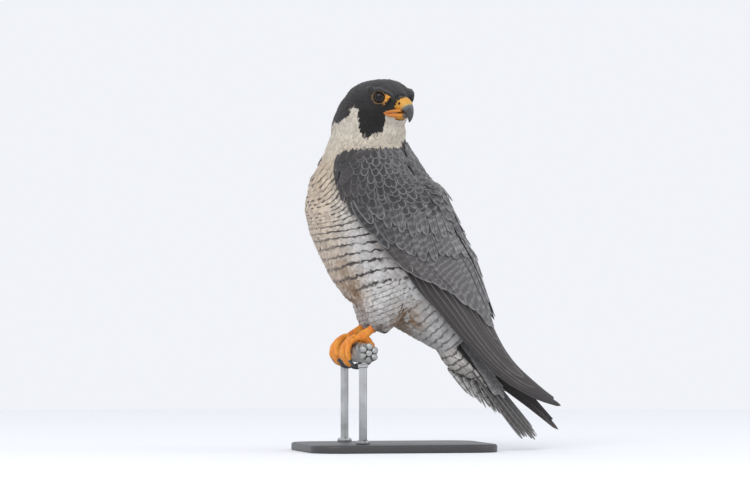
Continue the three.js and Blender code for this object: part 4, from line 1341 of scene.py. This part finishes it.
def make_wing(name, side):
    make_wing_core(name, side)
    wing = Wing(name, side, 600 + side)
    primaries(wing)
    tips = [
        [3.8, 92], [4.2, 86], [4.45, 80], [4.75, 74], [5.05, 68], [5.45, 60], [5.75, 50], [6.1, 44],
        [5.8, 28], [5.55, 16],
    ]
    tier(
        wing, "secondaries", 16, [[2.7, 103], [3, 78], [3.6, 26]], tips,
        1.6, lambda k: 2.6 * k - 2.3, (12, 16), (FLIGHT * 1.1, ASH), (0.1, 0.7), 1.0, 0.03,
    )
    tier(
        wing, "greater_coverts", 15, [[1.9, 112], [2.3, 84], [2.6, 58], [2.7, 34]],
        [[3.0, 101], [3.25, 93], [3.5, 85], [3.8, 76], [4.05, 66], [4.3, 54], [4.5, 40]],
        1.4, lambda k: 0.3 * k - 0.3, (11, 13), (SLATE * 0.84, ASH), (0.2, 0.7), 0.9,
    )
    tier(
        wing, "median_coverts", 16, [[1.6, 112], [1.9, 84], [2.1, 58], [2.2, 36]],
        [[2.5, 106], [2.7, 96], [2.95, 85], [3.25, 72], [3.5, 58], [3.7, 42]],
        1.2, lambda k: 0.35, (9.5, 11.5), (SLATE * 0.84, ASH * 0.92), (0.2, 0.6), 0.9,
    )
    lesser_coverts(wing)
    rows = [(9, 0, 0.9, 13), (8, -0.5, 1.5, 12.5), (8, -0.95, 2.0, 11), (7, -1.4, 2.5, 10)]
    for row, (count, shift, lift, width) in enumerate(rows):
        shifts = np.array([[0.3, 0], [0.6, 0], [0.8, 0], [1, 0]]) * shift
        tier(
            wing, "scapulars", count, shifts + [[1.5, 50], [2.3, 32], [3.0, 20], [3.9, 13]],
            shifts + [[2.8, 46], [3.6, 36], [4.5, 26], [5.5, 12]], 1.0 - 0.3 * row, lambda k: lift,
            (width, width + 2), (SLATE, ASH * 1.1), (0.4, 0.8), 0.8, 0.14, free=True,
        )
    tier(
        wing, "tertials", 5, [[3.0, 20], [3.4, 9]], [[5.3, 26], [6.05, 9]], 0.4,
        lambda k: 0.6, (15, 17), (ASH, ASH * 1.1), (0.7, 0.8), 0.9, 0.05, free=True,
    )
    wing.finish()


for name, side in SIDES.items():
    make_wing(name, side)

# The tail


def tail_half(place):
    return blend(TAIL_ROOT_HALF, TAIL_TIP_HALF, smooth(place, 0, 90))


def tail_roof(y):
    return -0.006 * y * y


def belly_depth(place):
    """How far the soft form under the tail's root hangs below it."""
    return blend(23, 2.4, smooth(place, 26, 74) ** 0.8)


def tail_form(start, end, half, over, under):
    """A closed form along the tail, from its half width and its heights over and under."""
    place = np.linspace(start, end, 40)[:, None]
    turned = around(40)[None]
    y = half(place) * np.cos(turned)
    high = np.where(np.sin(turned) > 0, over(place), under(place)) * np.sin(turned) + tail_roof(y)
    points, faces = closed(np.stack([place + 0 * y, y, high], -1))
    return from_tail(points), faces


def tail_vanes(name, blade, rows, tone, mark):
    """Feathers in the tail's frame, each [from, to, root y, tip y, root height, tip height, half width]."""
    rows = np.asarray(rows, float)
    count = len(rows)
    draw = np.random.default_rng(len(name) + count)
    start, end, root, tip, low, high, half = (rows[:, k : k + 1] for k in range(7))
    at, k = blade.along[None], blade.across[None]
    ragged = 1 + draw.normal(0, 0.02, (count, blade.size)) * (at > 0.4)
    x = blend(start, end, at)
    y = blend(root, tip, at) + k * blade.breadth[None] * half * ragged
    z = blend(low, high, at) + tail_roof(y) - 0.25 * k * np.sign(tip) + 0.2 * (1 - k**2)
    z = z + blade.face[None] * 0.25
    phase = x / 9 + 0.25 * np.abs(k) + draw.random(count)[:, None] * 0.3
    column = 0.25 * (1 - (np.floor(phase + 0.12) % 2) * 2)
    lie = np.stack(np.broadcast_arrays(phase, column, draw.random(count)[:, None]), -1)
    uv = np.stack([0.5 + rows[:, 2] / 60, 0.1 + rows[:, 0] / 110], 1)
    points = from_tail(np.stack([x, y, z], -1))
    feathers(name, blade, points, (end - start)[:, 0], half[:, 0] * 2, tone, mark, lie, uv, "tail_feathers")


def rectrices(pairs=6):
    """The twelve tail feathers, the middle pair on top."""
    rows = []
    for n in range(pairs * 2):
        rank, side = n // 2 + 0.5, (1 if n % 2 else -1)
        tip = side * rank * (TAIL_TIP_HALF - 5.5) / (pairs - 0.5)
        high = 1.9 - 0.42 * rank - 0.1 * side
        end = TAIL_LENGTH - 18 * (tip / TAIL_TIP_HALF) ** 2 + 2.5 * math.sin(7 * n)
        rows.append([30, end, tip * 0.6, tip, high, high + 0.3 * math.sin(5 * n), 4.4])
    return sorted(rows, key=lambda row: row[5])


def uppertail_coverts():
    rows = []
    for k, (end, high) in enumerate([(84, 3.0), (74, 3.7), (64, 4.4), (52, 5.0), (40, 5.4)]):
        for y in np.linspace(-14 + k, 14 - k, 7):
            reach = end - 0.03 * y * y + 3 * math.sin(9 * y + k)
            rows.append([end - 32, reach, y * 0.7, y, high - 0.6, high, 4.4])
    return rows


def undertail_tips():
    """The lower coverts' drooping points."""
    rows, draw = [], np.random.default_rng(77)
    for end, high in [(92, -12), (84, -15), (76, -17), (68, -18.5), (60, -19.5)]:
        for y in np.linspace(-15, 12, 14):
            reach = end - 0.03 * y * y + draw.uniform(-7, 7)
            rise = high + 0.016 * (y + 5) ** 2 + draw.normal(0, 0.8)
            start, sway = end - 34, draw.normal(0, 1)
            rows.append([start, reach, y * 0.7, y + sway, 0.6 - belly_depth(start), rise, 2.7])
    return rows


def under_root(p):
    x, _, z = to_tail(p).T
    return (x < 54) & (x > 4) & (z < -0.6)


def undertail_coverts(core):
    """Soft feathers over the form under the tail's root."""
    roots = scattered(core.data, 2.9, under_root, 700)
    count = len(roots)
    draw = np.random.default_rng(701)
    size = draw.uniform(0.9, 1.15, count)
    lengths, widths = 15 * size, 5.4 * size

    def aim(p, _normal):
        return np.broadcast_to(TAIL_AXES[:, 0], p.shape)

    tree = tree_of(core.data)
    points, up = laid(tree, SOFT, roots, aim, lengths, widths, (-0.4, 1.5), 0.35, 0.14, 702)
    x, y, _ = to_tail(points.reshape(-1, 3)).T
    lie = np.stack([x / 9 - 0.02 * np.abs(y), 2 + y / 7, np.repeat(draw.random(count), SOFT.size)], 1)
    uv = to_tail(roots)[:, [1, 0]] / [50, 60] + [0.5, 0]
    tone, mark = blend(FLANK, CREAM, 0.3), [0.8, 0, 0, 0]
    feathers(
        "undertail_coverts", SOFT, points, lengths, widths, tone, mark, lie, uv, "tail_feathers", (0.4, up)
    )


def make_tail_core():
    """The soft form under the tail's root, and a level sheet among the tail feathers."""
    beneath = tail_form(3, 71, lambda x: blend(19, 6, smooth(x, 20, 74)), lambda x: 2, belly_depth)
    level = tail_form(
        2, 118, lambda x: tail_half(x) - 5, lambda x: blend(4, 0.6, smooth(x, 0, 60)), lambda x: 0.6
    )
    core = fused("tail_core", [beneath, level], 1.2, 3, "tail_feathers", ["tail"], plumage_look)
    under = smooth(-to_tail(points_of(core.data))[:, 2], 1.5, 4)[:, None]
    attach_plain(core, blend(FLIGHT, FLANK, under))
    return core


def make_tail():
    core = make_tail_core()
    tail_vanes("rectrices", REMEX, rectrices(), FLIGHT * 0.7, [0, 0, 0.9, 0.1])
    tail_vanes("uppertail_coverts", LONG, uppertail_coverts(), ASH * 1.5, [0, 0, 0.6, 0.9])
    tail_vanes("undertail_tips", SHAG, undertail_tips(), FLANK, [0.6, 0, 0.0, 0.0])
    undertail_coverts(core)


make_tail()

# The eyes and their lids


def make_eye(name, side, look):
    centre, out, front, up = eye_frame(side)
    polar = np.linspace(0.02, math.pi - 0.02, 48)
    radius = EYE_RADIUS * (1 + 0.05 * hump(polar, 0, 0.6))
    points, faces = lathe(radius * np.cos(polar), radius * np.sin(polar), centre, out, front, up, 64)
    made = mesh_piece(f"eye_ball_{name}", from_head(points), faces, "eye", [f"eye_{name}"], look)
    attach(made, polar=np.append(np.repeat(polar, 64), [polar[0], polar[-1]]))


def make_lid(name, side, look):
    """The bare ring round an eye, in rows of points from its rim out to the skin and back under it."""
    centre, out, front, up = eye_frame(side)
    turned = around(96)
    ring = np.cos(turned)[:, None] * front + np.sin(turned)[:, None] * up
    inner = 5.7 - 0.5 * hump(np.degrees(turned), 90, 40)
    deep = np.sqrt(EYE_RADIUS**2 - inner**2)
    spots = from_head(centre + (deep + 1)[:, None] * out + lid_reach(turned)[:, None] * ring)
    seat, normal = nearest(skin_tree, spots)
    seat, normal = to_head(seat), unit(normal @ HEAD_AXES.T + out * 0.6)
    rim, top, shoulder = (
        centre + (deep + rise)[:, None] * out + (inner + wider)[:, None] * ring
        for rise, wider in ((0.35, 0), (0.95, 0.5), (0.75, 1.05))
    )
    outer = seat + 0.9 * normal
    middle = blend(shoulder, outer, 0.5) + 0.25 * normal
    rows = [rim, top, shoulder, middle, outer, seat - 1.2 * normal, rim - 2.2 * out]
    points, faces = np.stack(rows, 1).reshape(-1, 3), band(len(turned), len(rows), wrapped=True)
    made = mesh_piece(f"lid_{name}", from_head(points), outward(points, faces), "cere_skin", (), look)
    wedge = hump(degrees_from(-0.15, turned), 0, 42)
    tone = blend(linear(92, 80, 56), linear(222, 150, 48), wedge[:, None])
    tone = np.repeat(tone[:, None], len(rows), 1)
    tone[:, :2] = blend(linear(44, 38, 30), tone[:, :2], 0.25)
    attach(made, tone=tone.reshape(-1, 3))


# The bill

# The mouth's corner above and below its slit, forward, sideways and up in the head's frame, and its radii
GAPE = [
    (
        [(32, 5.6, -7.4), (26.5, 10.2, -7.9), (23.4, 13.0, -8.5), (21.2, 15.4, -9.1), (19.4, 17.6, -9.7)],
        [1.6, 1.65, 1.5, 1.05, 0.4],
    ),
    (
        [(32, 3.2, -12.4), (26.4, 8.6, -12.2), (23.2, 11.9, -11.8), (21, 14.9, -11.1), (19.4, 17.4, -10.4)],
        [2.2, 2.25, 1.85, 1.15, 0.4],
    ),
]


def bill_form(rows, steps, sides):
    at = spline(rows, np.linspace(0, len(rows) - 1, steps))
    forward, up, droop, half, high = (at[:, k : k + 1] for k in range(5))
    droop = np.radians(droop)
    turned = around(sides)[None]
    rise = high * np.sin(turned)
    x, y, z = forward + rise * np.sin(droop), half * np.cos(turned), up + rise * np.cos(droop)
    return closed(np.stack([x, y, z], -1))


def shaped_bill():
    """The upper bill with its nostrils, the cere's swelling over them, and a tooth behind the tip."""
    points, faces = bill_form(UPPER_BILL, 150, 84)
    for side in SIDES.values():
        away = np.linalg.norm(points - NOSTRIL * [1, side, 1], axis=1)
        inward = unit(points - np.array([30, 0, -2]))
        points = points - inward * (1.9 * fade(away, 1.15, 1.85) - 1.2 * fade(away, 0.1, 0.55))[:, None]
        points = points + inward * (0.28 * hump(away, 2.0, 0.55))[:, None]
    points[:, 1] *= 1 + 0.06 * hump(points[:, 0], 31, 2.6) * hump(points[:, 2], 1.5, 4)
    points[:, 2] -= hump(points[:, 0], 35.2, 1.1) * smooth(-points[:, 2], 9.5, 11.5) * (points[:, 0] < 37)
    return from_head(points), faces


def cut(piece, gap, keep_behind):
    """Cuts a piece beside the plane between cere and horn, and closes it."""
    edge = CERE_NORMAL / np.linalg.norm(CERE_NORMAL)
    at = CERE_NORMAL * CERE_AT / (CERE_NORMAL @ CERE_NORMAL) + gap * edge
    made = bmesh.new()
    made.from_mesh(piece.data)
    found = bmesh.ops.bisect_plane(
        made, geom=made.verts[:] + made.edges[:] + made.faces[:], plane_co=Vector(from_head(at) * MM),
        plane_no=Vector(CERE_NORMAL @ HEAD_AXES), clear_outer=keep_behind, clear_inner=not keep_behind,
    )
    edges = [e for e in found["geom_cut"] if isinstance(e, bmesh.types.BMEdge)]
    bmesh.ops.holes_fill(made, edges=edges)
    bmesh.ops.triangulate(made, faces=made.faces[:])
    made.to_mesh(piece.data)
    made.free()
    piece.data.shade_smooth()
    return to_head(points_of(piece.data))


def make_bill(bare_look):
    form = shaped_bill()
    cere = mesh_piece("cere_skin", *form, "cere_skin", ["cere"], bare_look)
    h = cut(cere, -0.05, True)
    # Painted shade: the nostril pits are painted dark red-brown for the shade inside the openings
    nostril_shade = [fade(np.linalg.norm(h - NOSTRIL * [1, side, 1], axis=1), 1.25, 2.0) for side in SIDES.values()]
    tone = blend(linear(212, 156, 56), linear(210, 132, 42), smooth(-h[:, 2], 1, 8)[:, None])
    front = smooth(h @ CERE_NORMAL, CERE_AT - 3.2, CERE_AT)
    tone = blend(tone, linear(160, 158, 118), (0.7 * front)[:, None])
    attach(cere, tone=blend(tone, linear(52, 22, 8), np.max(nostril_shade, axis=0)[:, None]))

    horn_look = horn_material("horn", linear(84, 90, 90), linear(22, 23, 26))
    horn = mesh_piece("horn", *form, "bill_horn", ["bill_upper"], horn_look)
    h = cut(horn, 0.05, False)
    attach(horn, share=smooth(h @ CERE_NORMAL, CERE_AT, CERE_AT + 5))

    points, faces = bill_form(LOWER_BILL + [0, 0.9, 0, 0, 0.5], 60, 56)
    lower = mesh_piece("mandible", from_head(points), faces, "lower_bill", ["bill_lower"], bare_look)
    tone = blend(linear(224, 130, 40), linear(206, 160, 70), smooth(points[:, 0], 22, 30)[:, None])
    attach(lower, tone=blend(tone, linear(78, 84, 88), smooth(points[:, 0], 29, 34)[:, None]))
    return cere


def make_gape(bare_look):
    """The bare corner of the mouth, on both sides, above and below the slit."""
    parts, shades = [], []
    at = np.linspace(0, 4, 26)
    for side in SIDES.values():
        for line, radii in GAPE:
            centres = spline(np.array(line) * [1, side, 1], at)
            seat, normal = nearest(skin_tree, from_head(centres))
            seat, normal = to_head(seat), normal @ HEAD_AXES.T
            centres = blend(centres, seat + 0.2 * normal, smooth(at, 0.2, 1.4)[:, None])
            parts.append(tube(centres, np.interp(at, np.arange(5), radii), 14, reference=(0.1, 0.05, 1)))
            tone = blend(linear(206, 134, 46), linear(186, 102, 38), at[:, None] / 4)
            shades += [np.repeat(tone, 14, 0), np.tile(linear(196, 108, 40), (2, 1))]
    points, faces = together(parts)
    made = mesh_piece("gape", from_head(points), faces, "cere_skin", (), bare_look)
    attach(made, tone=np.vstack(shades))


def by_lores(p):
    x, _, z = to_head(p).T
    return (x < 28.0 + 0.75 * (z + 3)) & (z > -6.5) & (x > 23.4)


def make_lores(cere):
    """Small dark feathers that cover the top and back of the cere."""
    length, width = 2.9, 1.3
    roots = scattered(cere.data, 1.0, by_lores, 801)

    def aim(p, _normal):
        return unit(np.array([-1.0, 0, 0.12]) + 0 * p) @ HEAD_AXES

    points, up = laid(tree_of(cere.data), TINY, roots, aim, length, width, (-0.1, 0.5), 0.2, 0.3, 802)
    uv, lie = 0.5 + to_head(roots)[:, 1:] / 30, np.full(points.shape, 0.5)
    tone, mark = CROWN * 0.8, [0, 0, 0, 0]
    feathers("lores", TINY, points, length, width, tone, mark, lie, uv, "head_plumage", (0.4, up))


bare_look = skin_material("bare_skin", 0.42, 900.0, 0.0001)
eye_look = eye_material()
for name, side in SIDES.items():
    make_eye(name, side, eye_look)
    make_lid(name, side, bare_look)
cere = make_bill(bare_look)
make_gape(bare_look)
make_lores(cere)

# The feet

TOE_THICKNESS = [1.15, 1, 1.1, 0.92, 1.02, 0.86, 0.96, 0.66]
HEEL = np.array([26, -10, 130])
TOE_CLEARANCE = 0.35


def round_perch(x, angle, lift):
    turned = np.radians(angle)
    reach = PERCH_RADIUS + lift
    y, z = PERCH_Y - reach * np.sin(turned), PERCH_Z + reach * np.cos(turned)
    return np.stack([x + 0 * turned, y, z], -1)


def scales(count, rings, depth, beside):
    """Scales down a toe or shank, as a factor on its radius. beside is their depth at its sides."""

    def swell(ring, turned):
        row = np.abs(np.sin(np.pi * count * ring / rings)) ** 0.5 - 0.6
        return 1 + depth * row * (beside + (1 - beside) * np.abs(np.sin(turned)))

    return swell


def toe_part(side, start, end, sway, radius):
    share = np.linspace(0, 1, 90)
    x = side * (FOOT_SPREAD - sway * np.minimum(1, share * 1.25))
    centres = round_perch(x, blend(start, end, share), radius * 1.15 + TOE_CLEARANCE)
    thick = np.interp(share * 7, np.arange(8), TOE_THICKNESS) * radius
    return tube(centres, thick, 28, scale_of=scales(22, 90, 0.07, 0.4))


def make_foot(name, side, look):
    foot = np.array([side * FOOT_SPREAD, PERCH_Y + 2, PERCH_Z + PERCH_RADIUS + 5])
    share = np.linspace(0, 1, 60)
    shank = tube(
        blend(foot, HEEL * [side, 1, 1], share[:, None]), np.interp(share, [0, 0.5, 1], [5, 3.9, 5.2]), 28,
        scale_of=scales(11, 60, 0.05, 1.0),
    )
    polar = np.linspace(0.05, math.pi - 0.05, 20)[:, None]
    turned = around(28)
    ball = [np.sin(polar) * np.cos(turned), np.sin(polar) * np.sin(turned), np.cos(polar) + 0 * turned]
    pad = closed(foot - [0, 0, 0.3] + np.stack(ball, -1) * [6, 6.5, 4.4])
    parts = [shank, pad] + [toe_part(side, *spec[:4]) for spec in TOES.values()]
    made = fused(f"foot_{name}", parts, 0.6, 2, "foot_skin", [f"leg_{name}"], look)
    points = points_of(made.data)
    tone = blend(linear(232, 132, 34), linear(238, 160, 52), (0.5 + 0.5 * wobble(points, 11, 21))[:, None])
    worn = smooth(wobble(points, 5, 22), 0.2, 1.0) * 0.5
    attach(made, tone=blend(tone, linear(190, 92, 28), worn[:, None]))


def make_talons(name, side, look):
    parts, shares = [], []
    share = np.linspace(0, 1, 22)
    for _, end, sway, radius, length in TOES.values():
        direction = math.copysign(1, end)
        sweep = math.degrees(length / (PERCH_RADIUS + 3))
        angle = end - direction * 6 + direction * (sweep + 8) * share
        lift = radius * 1.15 + TOE_CLEARANCE + 1.7 * np.sin(np.pi * share * 0.8) - 1.9 * share
        thick = radius * np.interp(share, [0, 0.15, 0.5, 0.85, 1], [0.55, 0.6, 0.42, 0.18, 0.05])
        parts.append(tube(round_perch(side * (FOOT_SPREAD - sway), angle, lift), thick, 16))
        shares.append(np.append(np.repeat(share, 16), [0, 1]))
    nodes = [f"talon_{name}_{digit}" for digit in TOES]
    made = mesh_piece(f"talons_{name}", *together(parts), "talon_horn", nodes, look)
    attach(made, share=np.concatenate(shares))


foot_look = skin_material("foot_skin", 0.5, 620.0, 0.00025)
talon_look = horn_material("talon", linear(44, 42, 44), linear(10, 10, 12), 0.22)
for name, side in SIDES.items():
    make_foot(name, side, foot_look)
    make_talons(name, side, talon_look)

# The perch, a length of seven-wire steel strand, and the stand

WIRE_RADIUS = PERCH_RADIUS / 3
LAY_LENGTH = 128
ROD_X, ROD_TOP = 45, PERCH_Z - PERCH_RADIUS - 0.7
# Heights up a rod, and radii
ROD = np.array([
    (8.35, 3.5), (8.4, 7.0), (9.4, 7.4), (11.4, 7.0), (12.4, 4.6), (13.2, 4.0), (ROD_TOP - 4.2, 4.0),
    (ROD_TOP - 3.4, 5.0), (ROD_TOP - 0.6, 5.4), (ROD_TOP, 4.4),
])
BASE_CORNER, BASE_HALF_X, BASE_HALF_Y, BASE_MIDDLE = 30, 75, 95, 8
# Heights up the base's edge, and how far it is drawn in
BASE_EDGE = [(0.02, 1.2), (0.5, 0.3), (1.2, 0), (5.6, 0), (6.9, 0.35), (7.6, 1.1), (8, 2.4)]


def crease(piece):
    piece.data.set_sharp_from_angle(angle=math.radians(35))


def make_perch():
    x = np.linspace(-PERCH_LENGTH / 2, PERCH_LENGTH / 2, 120)
    thick = (WIRE_RADIUS - 0.03) * (1 - 0.12 * fade(np.minimum(x - x[0], x[-1] - x), 0, 1.2))
    parts = []
    for wire in range(7):
        turned = x * TAU / LAY_LENGTH + wire * TAU / 6
        away = 0 if wire == 6 else PERCH_RADIUS - WIRE_RADIUS
        centres = np.stack([x, PERCH_Y + away * np.cos(turned), PERCH_Z + away * np.sin(turned)], 1)
        parts.append(tube(centres, thick, 20, reference=(0, 0.1, 1)))
    look = metal_material("strand", linear(176, 177, 175), linear(128, 128, 124), 0.5, 60.0)
    mesh_piece("strand", *together(parts), "strand_steel", ["perch"], look)


def make_stand():
    rod_look = metal_material("rod", linear(188, 189, 190), linear(150, 151, 152), 0.3, 30.0)
    for name, side in SIDES.items():
        place = np.array([side * ROD_X, PERCH_Y, 0])
        rod = lathe(ROD[:, 0], ROD[:, 1], place, UP, np.array([1, 0, 0]), np.array([0, 1, 0]), 48)
        crease(mesh_piece(f"rod_{name}", *rod, "rod_steel", [f"stand_rod_{name}"], rod_look))
    turned = around(96)
    cx = np.sign(np.cos(turned + 1e-6)) * (BASE_HALF_X - BASE_CORNER)
    cy = np.sign(np.sin(turned + 1e-6)) * (BASE_HALF_Y - BASE_CORNER) + BASE_MIDDLE
    rings = []
    for height, inset in BASE_EDGE:
        radius = BASE_CORNER - inset
        x, y = cx + radius * np.cos(turned), cy + radius * np.sin(turned)
        rings.append(np.stack([x, y, 0 * x + height], 1))
    look = paint_material("base_paint", linear(58, 57, 60))
    crease(mesh_piece("base_plate", *closed(np.array(rings)), "stand_plate", ["stand_base"], look))


make_perch()
make_stand()

# The stage


def make_stage():
    floor = Shader("floor", Roughness=0.9)
    floor.surface.inputs["Base Color"].default_value = (*linear(235, 236, 239), 1)
    reach, sides = 1.6, 96
    turned = around(sides)
    rim = np.stack([reach * np.cos(turned), reach * np.sin(turned), 0 * turned], 1)
    mesh = bpy.data.meshes.new("floor")
    mesh.from_pydata(rim.tolist(), [], [tuple(range(sides))])
    mesh.materials.append(floor.material)
    made = bpy.data.objects.new("floor", mesh)
    scene.collection.objects.link(made)
    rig.stage(made)
    world = bpy.data.worlds.new("studio")
    world.use_nodes = True
    background = world.node_tree.nodes["Background"]
    background.inputs["Color"].default_value = (*linear(241, 243, 248), 1)
    background.inputs["Strength"].default_value = 1.0
    scene.world = world
    scene.view_settings.view_transform = "Standard"


def put_at(name, data, place, way):
    """A lamp or camera at a place in metres, looking along a way."""
    made = bpy.data.objects.new(name, data)
    made.location = place
    made.rotation_mode = "QUATERNION"
    made.rotation_quaternion = way.to_track_quat("-Z", "Y")
    scene.collection.objects.link(made)
    return made


def area_light(name, place, aim, size, power):
    light = bpy.data.lights.new(name, "AREA")
    light.shape = "DISK"
    light.size = size
    light.energy = power
    put_at(name, light, place, Vector(aim) - Vector(place))


# The photograph's frame is 0.75 m wide at the bird, seen from its left side, level and from far off.
FRAME_WIDTH, DISTANCE, AZIMUTH, SENSOR = 0.75, 6.0, math.radians(78), 36
LOOK_RIGHT, LOOK_HIGH = -0.011, 0.201


def make_camera():
    lens = bpy.data.cameras.new("camera")
    lens.sensor_width = SENSOR
    lens.lens = SENSOR * DISTANCE / FRAME_WIDTH
    lens.clip_start, lens.clip_end = 0.1, 60
    back = Vector((math.sin(AZIMUTH), -math.cos(AZIMUTH), 0))
    aim = Vector((math.cos(AZIMUTH), math.sin(AZIMUTH), 0)) * LOOK_RIGHT + Vector((0, 0, LOOK_HIGH))
    scene.camera = put_at("camera", lens, aim + back * DISTANCE, -back)


make_stage()
area_light("key", (2.2, -1.6, 2.6), (0, 0, 0.2), 2.2, 52)
area_light("fill", (1.2, 2.6, 1.2), (0, 0, 0.2), 2.0, 14)
make_camera()
with open("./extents.json", "w") as f:
    write_json({"cad": [list(v) for v in CAD_BOX], "visual": [list(v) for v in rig.bounds()]}, f)
